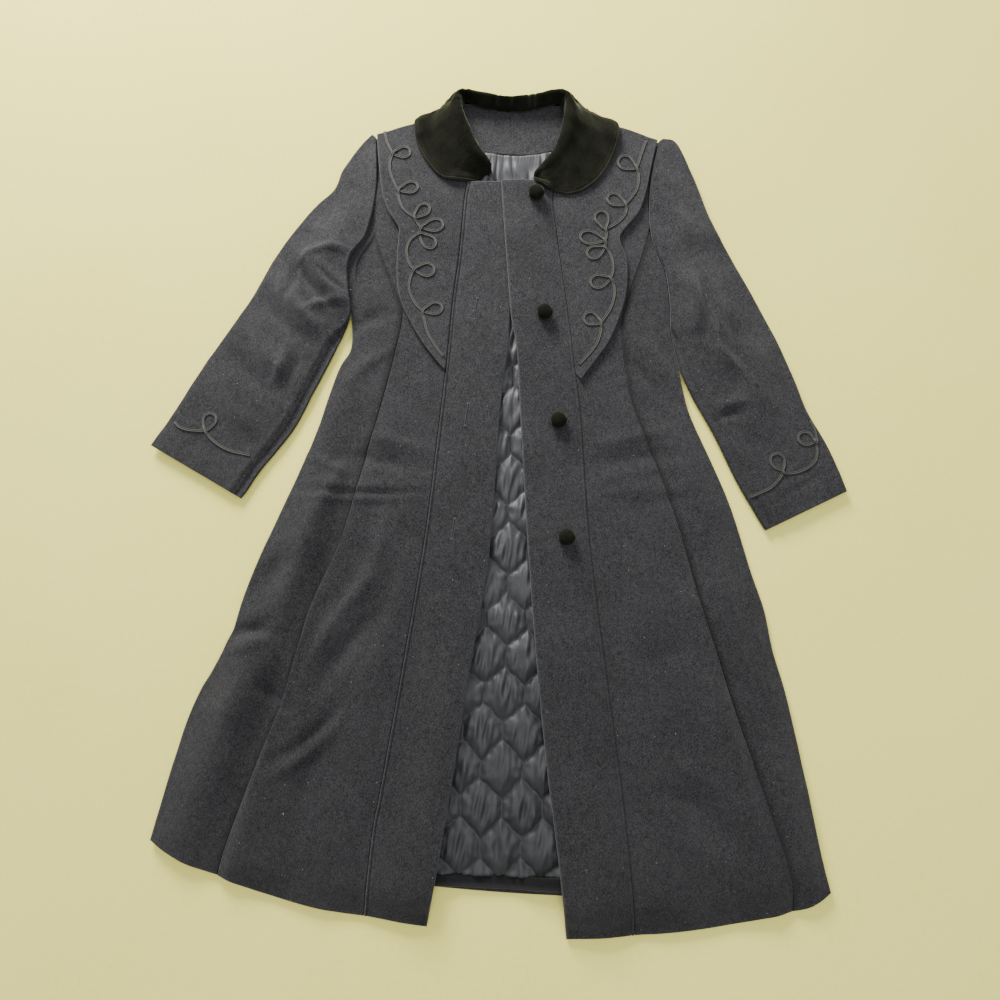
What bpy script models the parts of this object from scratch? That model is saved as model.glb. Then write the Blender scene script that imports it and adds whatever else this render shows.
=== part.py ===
"""Girl's long dress coat, laid open face up on a flat surface.

Every piece of cloth is a wall between an outline that was laid out in plan and the layers it lies on.
Lengths are in millimetres and become metres when a mesh is made. X runs to the viewer's right,
Y towards the collar and Z up. Right and left in the names are the wearer's, so right is at -X.
"""
import math

import bpy
import numpy as np
from mathutils import Vector
from mathutils.bvhtree import BVHTree

MM = 0.001
GAP = 0.3
CENTRE_X, CENTRE_Y = 0.5, -3.55

WOOL = 2.4
DOUBLE_WOOL = 4.6
FRONT_WALL = 3.0
CAPLET_WALL = 2.6
SLEEVE_WALL = 4.2
SATIN = 1.6
COLLAR_WALL = 3.4
LINING_WALL = 4.4
QUILT_BASE, QUILT_PUFF = 2.4, 5.0
QUILT_ROUND = 15.0
HEM_FACING = 2.4
BRAID_WIDTH, BRAID_HEIGHT = 3.3, 1.4
BUTTON_RADIUS, BUTTON_HEIGHT, BUTTON_FOOT = 9.5, 13.0, 3.5
EDGE_ROLL = 6.5
LINING_INSET = 15.0
LINING_TOP, LINING_HEM = 312.0, -424.0
LINING_HEM_RISE = 20.0
COLLAR_LIFT = 3.8
NECK_SEAM_HEIGHT = 10.0
COLLAR_COLUMNS = 12

CELL_WIDTH, CELL_SIDE = 44.0, 19.75
CELL_X, CELL_Y = -7.0, -356.0
CELL_STEPS = 6
QUILT_TOP = 190.0
WEDGE_MARGIN = 20.0

# Seams and edges in plan: x, y from the neck or shoulder down to the hem
ARMHOLE_RIGHT = [(-158, 414), (-154, 376), (-153, 345), (-156, 312), (-163, 282), (-177, 259),
                 (-181, 240), (-178, 214), (-175, 186)]
ARMHOLE_LEFT = [(184, 417), (175, 373), (172, 335), (174, 296), (184, 268), (192, 246),
                (196, 214), (196, 186), (200, 160), (206, 134)]
SIDE_RIGHT = [(-173, 147), (-186, 120), (-206, 49), (-223, 2), (-241, -44), (-259, -90),
              (-274, -134), (-285, -178), (-303, -221), (-315, -243), (-329, -285), (-348, -367),
              (-354, -398)]
SIDE_LEFT = [(217, 84), (237, 38), (257, -8), (272, -52), (285, -97), (299, -140), (307, -183),
             (319, -225), (336, -307), (351, -388), (361, -430)]
PRINCESS_RIGHT = [(-158, 414), (-154, 376), (-153, 345), (-156, 305), (-143, 262), (-124, 218),
                  (-115, 190), (-122, 141), (-133, 87), (-145, 34), (-170, -73), (-199, -150),
                  (-221, -246), (-243, -311), (-269, -388), (-280, -431)]
PRINCESS_LEFT = [(184, 417), (175, 373), (172, 335), (173, 305), (162, 262), (147, 218), (140, 190),
                 (142, 154), (150, 100), (161, 65), (180, 17), (205, -54), (226, -133), (261, -245),
                 (283, -308), (317, -412), (321, -450)]
BAND_SEAM_RIGHT = [(-63, 438), (-60, 416), (-54, 388), (-46, 357), (-48, 331), (-52, 263), (-57, 210),
                   (-61, 140), (-69, 33), (-78, -73), (-96, -214), (-113, -339), (-119, -380),
                   (-125, -467)]
BAND_SEAM_LEFT = [(79, 441), (78, 418), (71, 387), (57, 346), (63, 292), (71, 239), (79, 186),
                  (85, 140), (94, 67), (105, -68), (125, -216), (145, -358), (157, -478)]
BAND_EDGE_RIGHT = [(14, 358), (14, 300), (12, 240), (10, 189), (9, 147), (4, 105), (1, 55), (-1, -3),
                   (-8, -114), (-22, -207), (-37, -326), (-50, -419), (-59, -475)]
BAND_EDGE_LEFT = [(-5, 356), (0, 300), (6, 240), (11, 189), (19, 147), (26, 55), (36, -70),
                  (49, -205), (62, -313), (74, -393), (86, -484)]
CAPLET_EDGE_RIGHT = [(-156, 414), (-154, 396), (-146, 341), (-137, 314), (-124, 294), (-123, 285),
                     (-124, 259), (-123, 232), (-118, 206), (-106, 180), (-90, 154), (-74, 134),
                     (-64, 123)]
CAPLET_EDGE_LEFT = [(182, 417), (175, 386), (168, 350), (159, 322), (140, 297), (137, 286),
                    (144, 266), (146, 248), (144, 219), (137, 192), (125, 162), (110, 139), (93, 115)]
SLEEVE_OUTER_RIGHT = [(-163, 418), (-178, 399), (-195, 370), (-205, 343), (-229, 317), (-264, 265),
                      (-288, 215), (-316, 165), (-345, 116), (-370, 68), (-394, 26)]
SLEEVE_OUTER_LEFT = [(189, 421), (205, 417), (222, 381), (232, 356), (247, 315), (277, 255),
                     (290, 231), (315, 182), (335, 135), (352, 88), (377, 42), (395, -5)]
SLEEVE_INNER_RIGHT = [(-191, 144), (-212, 96), (-234, 48), (-267, 1), (-281, -23), (-287, -32)]
SLEEVE_INNER_LEFT = [(217, 108), (243, 61), (265, 15), (276, -7), (302, -52)]

# The edges of the wedge between the open fronts, hem upwards: heights and places across
WEDGE_RIGHT = [-475, -326, -114, 105, 189], [-59, -37, -8, 4, 10]
WEDGE_LEFT = [-484, -313, -70, 105, 189], [86, 62, 36, 22, 11]

# Rows from shoulder to hem, as fractions of a seam: the split where the side panels start, the split
# where the bands start, and where the caplets end
BODY_ROWS = 25
SIDE_START, BAND_START, CAPLET_END = 0.130, 0.092, 0.350

# Soft folds raised in the cloth: start and end in plan, height and half width
FOLDS = {
    "sleeve_right_upper": [
        dict(x0=-236, y0=262, x1=-186, y1=205, height=11, width=11),
        dict(x0=-262, y0=228, x1=-214, y1=160, height=8, width=12),
        dict(x0=-286, y0=168, x1=-236, y1=100, height=5, width=14),
        dict(x0=-318, y0=112, x1=-276, y1=52, height=5, width=16),
        dict(x0=-205, y0=300, x1=-186, y1=252, height=6, width=14)],
    "sleeve_left_upper": [
        dict(x0=222, y0=262, x1=236, y1=166, height=9, width=14),
        dict(x0=252, y0=226, x1=262, y1=116, height=7, width=16),
        dict(x0=292, y0=160, x1=304, y1=52, height=5, width=18),
        dict(x0=206, y0=330, x1=222, y1=284, height=5, width=15)],
    "front_panel_right": [
        dict(x0=-128, y0=60, x1=-176, y1=-150, height=5, width=18),
        dict(x0=-98, y0=-20, x1=-138, y1=-300, height=5, width=20),
        dict(x0=-180, y0=-190, x1=-250, y1=-430, height=9, width=20),
        dict(x0=-150, y0=-260, x1=-176, y1=-470, height=5, width=22)],
    "side_panel_right": [
        dict(x0=-182, y0=20, x1=-236, y1=-170, height=9, width=16),
        dict(x0=-170, y0=120, x1=-196, y1=20, height=5, width=14),
        dict(x0=-246, y0=-170, x1=-316, y1=-400, height=12, width=20)],
    "front_panel_left": [
        dict(x0=128, y0=40, x1=176, y1=-190, height=5, width=20),
        dict(x0=160, y0=-180, x1=196, y1=-460, height=7, width=22),
        dict(x0=214, y0=-130, x1=288, y1=-450, height=9, width=20)],
    "side_panel_left": [
        dict(x0=196, y0=60, x1=238, y1=-60, height=7, width=15),
        dict(x0=228, y0=-80, x1=292, y1=-260, height=9, width=18),
        dict(x0=286, y0=-240, x1=338, y1=-430, height=10, width=18)],
    "front_band_right": [dict(x0=-30, y0=-160, x1=-76, y1=-470, height=5, width=16)],
    "front_band_left": [dict(x0=92, y0=-180, x1=122, y1=-480, height=6, width=18)],
}

# Collar sections from the right tip round the back to the left tip: the highest point of the roll, how
# far the fall reaches in plan, the roll's height, where the neck seam lies outwards of the roll, the
# height of the outer edge above what it lies on, and how much of the fall turns under the shoulder
COLLAR_SECTIONS = [
    dict(x=-17, y=374, out_x=-16, out_y=368, roll=20, foot=1.5, edge=0.0, under=0),
    dict(x=-22, y=382, out_x=-33, out_y=359, roll=23, foot=3, edge=0.0, under=0),
    dict(x=-31, y=392, out_x=-52, out_y=355, roll=26, foot=4, edge=0.0, under=0),
    dict(x=-39, y=404, out_x=-74, out_y=358, roll=28, foot=4, edge=0.0, under=0),
    dict(x=-45, y=417, out_x=-91, out_y=374, roll=30, foot=4, edge=0.0, under=0),
    dict(x=-51, y=430, out_x=-104, out_y=395, roll=31, foot=3, edge=0.0, under=0),
    dict(x=-55, y=441, out_x=-111, out_y=417, roll=32, foot=1, edge=0.0, under=0),
    dict(x=-57, y=448, out_x=-110, out_y=434, roll=32, foot=-1, edge=0.0, under=0),
    dict(x=-58, y=454, out_x=-97, out_y=446, roll=32, foot=-3, edge=3.0, under=0),
    dict(x=-58, y=459, out_x=-85, out_y=455, roll=31, foot=-5, edge=0.0, under=6),
    dict(x=-56, y=463, out_x=-73, out_y=464, roll=31, foot=-7, edge=0.0, under=30),
    dict(x=-49, y=464, out_x=-59, out_y=472, roll=30, foot=-8, edge=0.0, under=48),
    dict(x=-34, y=462, out_x=-38, out_y=470, roll=28, foot=-9, edge=0.0, under=54),
    dict(x=-16, y=460, out_x=-18, out_y=467, roll=27, foot=-9, edge=0.0, under=56),
    dict(x=4, y=459, out_x=4, out_y=466, roll=26, foot=-9, edge=0.0, under=57),
    dict(x=22, y=460, out_x=24, out_y=468, roll=27, foot=-9, edge=0.0, under=56),
    dict(x=40, y=463, out_x=43, out_y=471, roll=28, foot=-9, edge=0.0, under=54),
    dict(x=59, y=466, out_x=67, out_y=475, roll=30, foot=-8, edge=0.0, under=48),
    dict(x=68, y=464, out_x=84, out_y=467, roll=31, foot=-7, edge=0.0, under=30),
    dict(x=71, y=459, out_x=100, out_y=458, roll=31, foot=-5, edge=0.0, under=6),
    dict(x=72, y=453, out_x=116, out_y=449, roll=32, foot=-3, edge=3.0, under=0),
    dict(x=71, y=446, out_x=133, out_y=437, roll=32, foot=-1, edge=0.0, under=0),
    dict(x=70, y=437, out_x=135, out_y=416, roll=32, foot=1, edge=0.0, under=0),
    dict(x=68, y=426, out_x=129, out_y=394, roll=31, foot=3, edge=0.0, under=0),
    dict(x=66, y=414, out_x=118, out_y=371, roll=30, foot=4, edge=0.0, under=0),
    dict(x=62, y=402, out_x=102, out_y=352, roll=28, foot=4, edge=0.0, under=0),
    dict(x=56, y=391, out_x=81, out_y=341, roll=26, foot=4, edge=0.0, under=0),
    dict(x=48, y=381, out_x=59, out_y=343, roll=24, foot=4, edge=0.0, under=0),
    dict(x=40, y=372, out_x=44, out_y=351, roll=22, foot=3, edge=0.0, under=0),
    dict(x=34, y=364, out_x=33, out_y=359, roll=20, foot=1.5, edge=0.0, under=0),
]

# Braid loops: the crossing, the far tip and the width; a row with no tip is a point on the way
CAPLET_BRAID_RIGHT = [
    dict(x=-147, y=419), dict(x=-143, y=404),
    dict(x=-135, y=388, tip_x=-115, tip_y=392, width=14),
    dict(x=-138, y=376), dict(x=-137, y=364), dict(x=-132, y=351),
    dict(x=-126, y=341, tip_x=-104, tip_y=348, width=14),
    dict(x=-125, y=330), dict(x=-119, y=317),
    dict(x=-106, y=308, tip_x=-90, tip_y=323, width=14),
    dict(x=-102, y=300),
    dict(x=-97, y=295, tip_x=-72, tip_y=301, width=15),
    dict(x=-99, y=287, tip_x=-81, tip_y=272, width=15),
    dict(x=-109, y=279), dict(x=-113, y=266), dict(x=-110, y=251),
    dict(x=-103, y=242, tip_x=-80, tip_y=243, width=16),
    dict(x=-107, y=232), dict(x=-108, y=218), dict(x=-101, y=202),
    dict(x=-91, y=192, tip_x=-69, tip_y=198, width=14),
    dict(x=-89, y=182), dict(x=-84, y=165), dict(x=-74, y=149), dict(x=-65, y=138)]
CAPLET_BRAID_LEFT = [
    dict(x=168, y=415), dict(x=162, y=397),
    dict(x=156, y=379, tip_x=135, tip_y=389, width=17),
    dict(x=159, y=367), dict(x=156, y=350),
    dict(x=143, y=332, tip_x=122, tip_y=340, width=15),
    dict(x=144, y=322), dict(x=136, y=310),
    dict(x=120, y=300, tip_x=112, tip_y=321, width=16),
    dict(x=121, y=293),
    dict(x=119, y=285, tip_x=90, tip_y=289, width=16),
    dict(x=119, y=276, tip_x=99, tip_y=265, width=15),
    dict(x=127, y=264), dict(x=129, y=250),
    dict(x=126, y=238, tip_x=103, tip_y=231, width=16),
    dict(x=131, y=223), dict(x=127, y=203),
    dict(x=115, y=184, tip_x=96, tip_y=191, width=15),
    dict(x=115, y=172), dict(x=110, y=157), dict(x=99, y=142), dict(x=91, y=133)]
CUFF_BRAID_RIGHT = [
    dict(x=-368, y=53), dict(x=-361, y=47), dict(x=-349, y=44),
    dict(x=-332, y=44, tip_x=-326, tip_y=64, width=15),
    dict(x=-327, y=37), dict(x=-316, y=28), dict(x=-300, y=21), dict(x=-279, y=17)]
CUFF_BRAID_LEFT = [
    dict(x=284, y=-15), dict(x=296, y=-10), dict(x=310, y=-2),
    dict(x=322, y=14, tip_x=313, tip_y=35, width=16),
    dict(x=335, y=14), dict(x=350, y=20), dict(x=360, y=31),
    dict(x=361, y=49, tip_x=341, tip_y=57, width=15),
    dict(x=360, y=63), dict(x=355, y=75)]

BUTTONS = [dict(x=37, y=338), dict(x=50, y=192), dict(x=68, y=65), dict(x=79, y=-67)]

COLOURS = {
    "wool": dict(colour=(0.050, 0.048, 0.055), roughness=0.95),
    "wool_inside": dict(colour=(0.020, 0.019, 0.020), roughness=0.95),
    "velvet": dict(colour=(0.012, 0.013, 0.010), roughness=0.85),
    "satin": dict(colour=(0.045, 0.047, 0.062), roughness=0.38),
    "braid": dict(colour=(0.058, 0.058, 0.048), roughness=0.75),
}


def clear_scene():
    for item in list(bpy.data.objects):
        bpy.data.objects.remove(item, do_unlink=True)


def cloth_material(name):
    material = bpy.data.materials.get(name)
    if material is None:
        material = bpy.data.materials.new(name)
        material.use_nodes = True
        shader = material.node_tree.nodes["Principled BSDF"]
        shader.inputs["Base Color"].default_value = (*COLOURS[name]["colour"], 1.0)
        shader.inputs["Roughness"].default_value = COLOURS[name]["roughness"]
    return material


def smooth_curve(points, steps=10):
    """A smooth curve through the points, as a fine polyline."""
    points = np.array(points, float)
    ends = np.vstack([2 * points[0] - points[1], points, 2 * points[-1] - points[-2]])
    fine = []
    for a, b, c, d in zip(ends[:-3], ends[1:-2], ends[2:-1], ends[3:]):
        for step in range(steps):
            t = step / steps
            fine.append(0.5 * (2 * b + (c - a) * t + (2 * a - 5 * b + 4 * c - d) * t ** 2
                               + (3 * b - a - 3 * c + d) * t ** 3))
    fine.append(points[-1])
    return np.array(fine)


def along(curve, fractions):
    """Points of a polyline at fractions of its length."""
    steps = np.linalg.norm(np.diff(curve, axis=0), axis=1)
    length = np.concatenate([[0.0], np.cumsum(steps)])
    wanted = np.array(fractions) * length[-1]
    return np.stack([np.interp(wanted, length, curve[:, k]) for k in range(curve.shape[1])], axis=1)


def spread(count, start_edge=0.0, end_edge=0.0):
    """Fractions from 0 to 1, with two close lines at an end where an edge fraction is given."""
    inner = list(np.linspace(0.0, 1.0, count))
    extra = []
    if start_edge:
        extra += [start_edge, 2.5 * start_edge]
    if end_edge:
        extra += [1.0 - end_edge, 1.0 - 2.5 * end_edge]
    kept = [v for v in inner if all(abs(v - e) > 0.45 / (count - 1) for e in extra) or v in (0.0, 1.0)]
    return sorted(kept + extra)


def edge(points, fractions, dx=0.0):
    """Points at fractions of a seam or outline, moved sideways by the seam's gap."""
    return along(smooth_curve(points), fractions) + np.array((dx, 0.0))


def between(first, second, columns, crown_top=0.0, crown_end=0.0):
    """A lattice of plan points between two edges; a crown bows its first or last row outwards."""
    u = np.array(columns)[None, :, None]
    lattice = first[:, None, :] * (1 - u) + second[:, None, :] * u
    bow = 4 * u[..., 0] * (1 - u[..., 0])
    v = np.linspace(0, 1, len(first))[:, None]
    lattice[..., 1] += bow * (crown_top * (1 - v) ** 6 - crown_end * v ** 6)
    return lattice


class Pile:
    """The pieces that lie on the surface so far, asked for their height under a point."""

    def __init__(self):
        self.points = []
        self.faces = []
        self.tree = None

    def add(self, points, faces):
        start = len(self.points)
        self.points += [tuple(p) for p in points]
        self.faces += [tuple(start + k for k in face) for face in faces]
        self.tree = BVHTree.FromPolygons(self.points, self.faces)

    def height(self, x, y):
        if self.tree is None:
            return 0.0
        hit = self.tree.ray_cast(Vector((x, y, 300.0)), Vector((0, 0, -1)))[0]
        return hit.z if hit is not None else 0.0


def cell_heights(plan, pile, spacing=2.2):
    """The highest point of the pile under each cell of a lattice."""
    rows, columns = plan.shape[0] - 1, plan.shape[1] - 1
    top = np.zeros((rows, columns))
    for i in range(rows):
        for j in range(columns):
            a, b, c, d = plan[i, j], plan[i, j + 1], plan[i + 1, j + 1], plan[i + 1, j]
            across = max(2, int(math.ceil(np.linalg.norm(b - a) / spacing)) + 1)
            down = max(2, int(math.ceil(np.linalg.norm(d - a) / spacing)) + 1)
            for v in np.linspace(0, 1, down):
                start = a * (1 - v) + d * v
                end = b * (1 - v) + c * v
                for u in np.linspace(0, 1, across):
                    x, y = start * (1 - u) + end * u
                    top[i, j] = max(top[i, j], pile.height(x, y))
    flat = [(x, y, 0.0) for x, y in plan.reshape(-1, 2)]
    width = plan.shape[1]
    cells = [(i * width + j, i * width + j + 1, (i + 1) * width + j + 1, (i + 1) * width + j)
             for i in range(rows) for j in range(columns)]
    finder = BVHTree.FromPolygons(flat, cells)
    for x, y, z in pile.points:
        hit = finder.ray_cast(Vector((x, y, 10.0)), Vector((0, 0, -1)))
        if hit[2] is not None:
            i, j = divmod(hit[2], columns)
            top[i, j] = max(top[i, j], z)
    return top


def cells_to_points(cells):
    """Each lattice point's highest neighbouring cell."""
    rows, columns = cells.shape[0] + 1, cells.shape[1] + 1
    low = np.zeros((rows, columns))
    for i in range(rows):
        for j in range(columns):
            low[i, j] = cells[max(i - 1, 0):i + 1, max(j - 1, 0):j + 1].max()
    return low


def drape(plan, pile, relax=8):
    """Heights of a cloth's underside that clears the pile and spans its hollows smoothly."""
    low = cells_to_points(cell_heights(plan, pile))
    low = np.where(low > 0.01, low + GAP, 0.0)
    height = low.copy()
    for _ in range(relax):
        mean = height.copy()
        mean[1:-1, 1:-1] = (height[:-2, 1:-1] + height[2:, 1:-1]
                            + height[1:-1, :-2] + height[1:-1, 2:]) / 4
        height = np.maximum(low, mean)
    return height


def fold_height(plan, folds):
    """Height that the folds of a table add over a lattice."""
    total = np.zeros(plan.shape[:2])
    for fold in folds:
        start = np.array((fold["x0"], fold["y0"]), float)
        end = np.array((fold["x1"], fold["y1"]), float)
        run = end - start
        t = ((plan - start) @ run) / (run @ run)
        nearest = start + np.clip(t, 0, 1)[..., None] * run
        across = np.linalg.norm(plan - nearest, axis=-1)
        rise = np.sin(np.pi * np.clip(0.1 + 0.8 * t, 0, 1)) ** 0.7
        total = np.maximum(total, fold["height"] * rise * np.exp(-(across / fold["width"]) ** 2))
    return total


def grid_faces(rows, columns, offset=0, flip=False):
    faces = []
    for i in range(rows - 1):
        for j in range(columns - 1):
            a = offset + i * columns + j
            b, c, d = a + 1, a + columns + 1, a + columns
            pair = [(a, d, c), (a, c, b)] if not flip else [(a, c, d), (a, b, c)]
            faces += pair
    return faces


def rim_faces(rows, columns, offset):
    """Faces that join the border of a top lattice to the same border of a bottom lattice."""
    border = [j for j in range(columns)]
    border += [i * columns + columns - 1 for i in range(1, rows)]
    border += [(rows - 1) * columns + j for j in range(columns - 2, -1, -1)]
    border += [i * columns for i in range(rows - 2, 0, -1)]
    faces = []
    for a, b in zip(border, border[1:] + border[:1]):
        faces += [(a, b, offset + b), (a, offset + b, offset + a)]
    return faces


def wall_mesh(top, bottom):
    """A closed wall between two lattices of points whose rows run downwards in plan, left to right."""
    rows, columns = top.shape[:2]
    points = np.vstack([top.reshape(-1, 3), bottom.reshape(-1, 3)])
    count = rows * columns
    faces = grid_faces(rows, columns)
    faces += grid_faces(rows, columns, count, flip=True)
    faces += rim_faces(rows, columns, count)
    return points, faces


def make_object(name, points, faces, finish, smooth=True):
    """A mesh object from points in millimetres."""
    centred = [((x - CENTRE_X) * MM, (y - CENTRE_Y) * MM, z * MM) for x, y, z in points]
    mesh = bpy.data.meshes.new(name)
    mesh.from_pydata(centred, [], faces)
    mesh.materials.append(cloth_material(finish))
    mesh.update()
    if smooth:
        mesh.shade_smooth()
        mesh.set_sharp_from_angle(angle=math.radians(50))
    item = bpy.data.objects.new(name, mesh)
    bpy.context.scene.collection.objects.link(item)
    return item


def lay_cloth(name, plan, pile, wall, finish, raise_by=0.0, relax=8, slope_limit=1.7):
    """Drapes a wall of cloth over the pile, makes its object and adds it to the pile."""
    under = drape(plan, pile, relax) + fold_height(plan, FOLDS.get(name, [])) + raise_by
    slope = np.zeros(under.shape)
    for axis in (0, 1):
        rise = np.gradient(under, axis=axis)
        run = np.linalg.norm(np.gradient(plan, axis=axis), axis=-1)
        slope = np.maximum(slope, np.abs(rise) / np.maximum(run, 1e-6))
    thick = wall * np.minimum(np.sqrt(1 + slope ** 2), slope_limit)
    bottom = np.concatenate([plan, under[..., None]], axis=-1)
    top = np.concatenate([plan, (under + thick)[..., None]], axis=-1)
    points, faces = wall_mesh(top, bottom)
    pile.add(points, faces)
    make_object(name, points, faces, finish)


def smooth_step(x, low, high):
    t = np.clip((x - low) / (high - low), 0, 1)
    return t * t * (3 - 2 * t)


def collar_lift(plan):
    """How far the back is raised where the collar's fall lies beneath it."""
    x, y = plan[..., 0], plan[..., 1]
    return COLLAR_LIFT * smooth_step(y, 346, 378) * (1 - smooth_step(np.abs(x - 8), 126, 150))


def make_back(pile):
    rows = spread(24, start_edge=0.006, end_edge=0.01)
    right = edge(ARMHOLE_RIGHT + SIDE_RIGHT, rows)
    left = edge(ARMHOLE_LEFT + SIDE_LEFT, rows)
    below_armpit = smooth_step(-right[:, 1], -200, -130)
    right[:, 0] += 0.4 + EDGE_ROLL * below_armpit
    below_armpit = smooth_step(-left[:, 1], -150, -80)
    left[:, 0] -= 0.4 + EDGE_ROLL * below_armpit
    plan = between(right, left, spread(13), crown_top=36, crown_end=26)
    plan[..., 1] -= EDGE_ROLL * smooth_step(plan[..., 1], 380, 420)
    lay_cloth("back", plan, pile, WOOL, "wool", raise_by=collar_lift(plan), relax=0)
    return plan


def quilt_height(x, y):
    """Height of the quilting over the lining's base: elongated cells, each row half a cell along."""
    pitch = 2 * CELL_SIDE
    best = np.full(x.shape, -1.0)
    first_row = np.floor((y - CELL_Y) / pitch)
    for row_shift in (-1, 0, 1, 2):
        row = first_row + row_shift
        centre_y = CELL_Y + row * pitch
        offset = np.where(np.mod(row, 2) == 1, CELL_WIDTH / 2, 0.0)
        centre_x = CELL_X + offset + CELL_WIDTH * np.round((x - CELL_X - offset) / CELL_WIDTH)
        dx, dy = np.abs(x - centre_x), np.abs(y - centre_y)
        side = CELL_WIDTH / 2 - dx
        apex = 1.5 * CELL_SIDE
        run = math.hypot(CELL_WIDTH / 2, CELL_SIDE)
        slant = (CELL_WIDTH / 2 * (apex - dy) - CELL_SIDE * dx) / run
        best = np.maximum(best, np.minimum(side, slant))
    inside = np.clip(best / QUILT_ROUND, 0, 1)
    return QUILT_PUFF * np.sin(inside * math.pi / 2) ** 0.8


def zip_rows(upper, lower, points):
    """Faces between two rows of point numbers, both left to right; diagonals follow the valleys."""
    def cost(a, b):
        return abs(points[a][0] - points[b][0]) + 0.01 * (points[a][2] + points[b][2])
    faces = []
    i = j = 0
    while i < len(upper) - 1 or j < len(lower) - 1:
        upper_done, lower_done = i == len(upper) - 1, j == len(lower) - 1
        if lower_done or not upper_done and cost(upper[i + 1], lower[j]) <= cost(upper[i], lower[j + 1]):
            faces.append((upper[i], lower[j], upper[i + 1]))
            i += 1
        else:
            faces.append((upper[i], lower[j], lower[j + 1]))
            j += 1
    return faces


def lining_row(y, right_line, left_line):
    """One row of the lining's upper side: its two outline points and, where it shows, the quilting."""
    low = np.interp(y, right_line[::-1, 1], right_line[::-1, 0]) + LINING_INSET
    high = np.interp(y, left_line[::-1, 1], left_line[::-1, 0]) - LINING_INSET
    wedge_low = np.interp(y, *WEDGE_RIGHT) - WEDGE_MARGIN
    wedge_high = np.interp(y, *WEDGE_LEFT) + WEDGE_MARGIN
    step = CELL_WIDTH / CELL_STEPS
    first = math.floor((wedge_low - CELL_X) / step)
    last = math.ceil((wedge_high - CELL_X) / step)
    x = CELL_X + step * np.arange(first, last + 1)
    fade = 0.5 * WEDGE_MARGIN
    shown = (smooth_step(x, wedge_low, wedge_low + fade)
             * smooth_step(-x, -wedge_high, fade - wedge_high)
             * (1 - smooth_step(y, QUILT_TOP - 4 * step, QUILT_TOP)))
    quilted = QUILT_BASE + quilt_height(x, np.full(x.shape, y))
    thick = LINING_WALL * (1 - shown) + quilted * shown
    ends = LINING_HEM_RISE * np.clip(np.abs(np.array((low, high))) / high, 0, 1) ** 2
    base = WOOL + GAP
    row = [(low, y, base + WOOL)] + [(a, y, base + b) for a, b in zip(x, thick)] + [(high, y, base + WOOL)]
    return row, ends


def make_lining(pile, back_plan):
    """The quilted lining: flat beneath, puffed on top in the wedge between the open fronts."""
    step = 2 * CELL_SIDE / CELL_STEPS
    fine = [CELL_Y + (k + 0.5) * step for k in range(-10, 106)]
    fine = [y for y in fine if y < QUILT_TOP]
    ys = list(np.linspace(LINING_TOP, fine[-1] + 2 * step, 4)) + fine[::-1] + [LINING_HEM]
    right_line, left_line = back_plan[:, 0], back_plan[:, -1]
    points, rows = [], []
    for y in ys:
        row, ends = lining_row(y, right_line, left_line)
        if y == LINING_HEM:
            row[0] = (row[0][0], y + ends[0], row[0][2])
            row[-1] = (row[-1][0], y + ends[1], row[-1][2])
        elif y < LINING_HEM + LINING_HEM_RISE + step:
            row[0] = (row[0][0], y + LINING_HEM_RISE, row[0][2])
            row[-1] = (row[-1][0], y + LINING_HEM_RISE, row[-1][2])
        rows.append(list(range(len(points), len(points) + len(row))))
        points += row
    faces = []
    for upper, lower in zip(rows, rows[1:]):
        faces += zip_rows(upper, lower, points)
    twin = {}
    for number, row in enumerate(rows):
        ends_only = 0 < number < len(rows) - 1
        for k in (row[0], row[-1]) if ends_only else row:
            twin[k] = len(points)
            points.append((points[k][0], points[k][1], WOOL + GAP))
    for upper, lower in zip(rows, rows[1:]):
        upper_twins = [twin[k] for k in upper if k in twin]
        lower_twins = [twin[k] for k in lower if k in twin]
        faces += [face[::-1] for face in zip_rows(upper_twins, lower_twins, points)]
    border = rows[0] + [row[-1] for row in rows[1:-1]] + rows[-1][::-1] + [row[0] for row in rows[-2:0:-1]]
    for a, b in zip(border, border[1:] + border[:1]):
        faces += [(a, b, twin[b]), (a, twin[b], twin[a])]
    pile.add(points, faces)
    make_object("lining", points, faces, "satin")


def make_hem_facing(pile):
    """The turned-up inside of the back's hem, just below the lining."""
    xs = np.linspace(-150, 170, 17)
    drop = np.interp(xs, [-150, 8, 170], [7, 0, 2])
    upper = np.stack([xs, -424.6 + 26 * (np.abs(xs) / 340) ** 2], axis=1)
    lower = np.stack([xs, -436.0 + drop], axis=1)
    plan = between_rows(upper, lower, 3)
    lay_cloth("back_hem", plan, pile, HEM_FACING, "wool_inside", relax=0)


def between_rows(upper, lower, rows):
    """A lattice between an upper and a lower row of points."""
    v = np.linspace(0, 1, rows)[:, None, None]
    return upper[None] * (1 - v) + lower[None] * v


def make_neck(pile):
    """The wool facing inside the back neck, and the satin gathered into it."""
    xs = np.linspace(-58, 70, 13)
    u = np.linspace(-1, 1, 13)
    upper = np.stack([xs, 446.0 - 4 * u ** 2], axis=1)
    xs_low = np.linspace(-44, 60, 13)
    lower = np.stack([xs_low, 394.0 + 8 * u ** 2], axis=1)
    lay_cloth("neck_facing", between_rows(upper, lower, 5), pile, WOOL, "wool", relax=2)
    pleats, per_pleat = 13, 3
    count = pleats * per_pleat + 1
    u = np.linspace(-1, 1, count)
    upper = np.stack([8 + 52 * u, 393.6 + 8 * u ** 2], axis=1)
    lower = np.stack([8 + 58 * u, np.full(count, LINING_TOP + 2 * GAP)], axis=1)
    depth = np.array([1.8, 3.4, 2.0, 0.4])[:, None]
    plan = between_rows(upper, lower, len(depth))
    phase = np.linspace(0, 2 * math.pi * pleats, count) + 0.7 * np.sin(5 * u)
    wave = 0.5 - 0.5 * np.cos(phase)
    lay_cloth("lining_gathers", plan, pile, SATIN, "satin", raise_by=wave * depth, relax=0)


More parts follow.
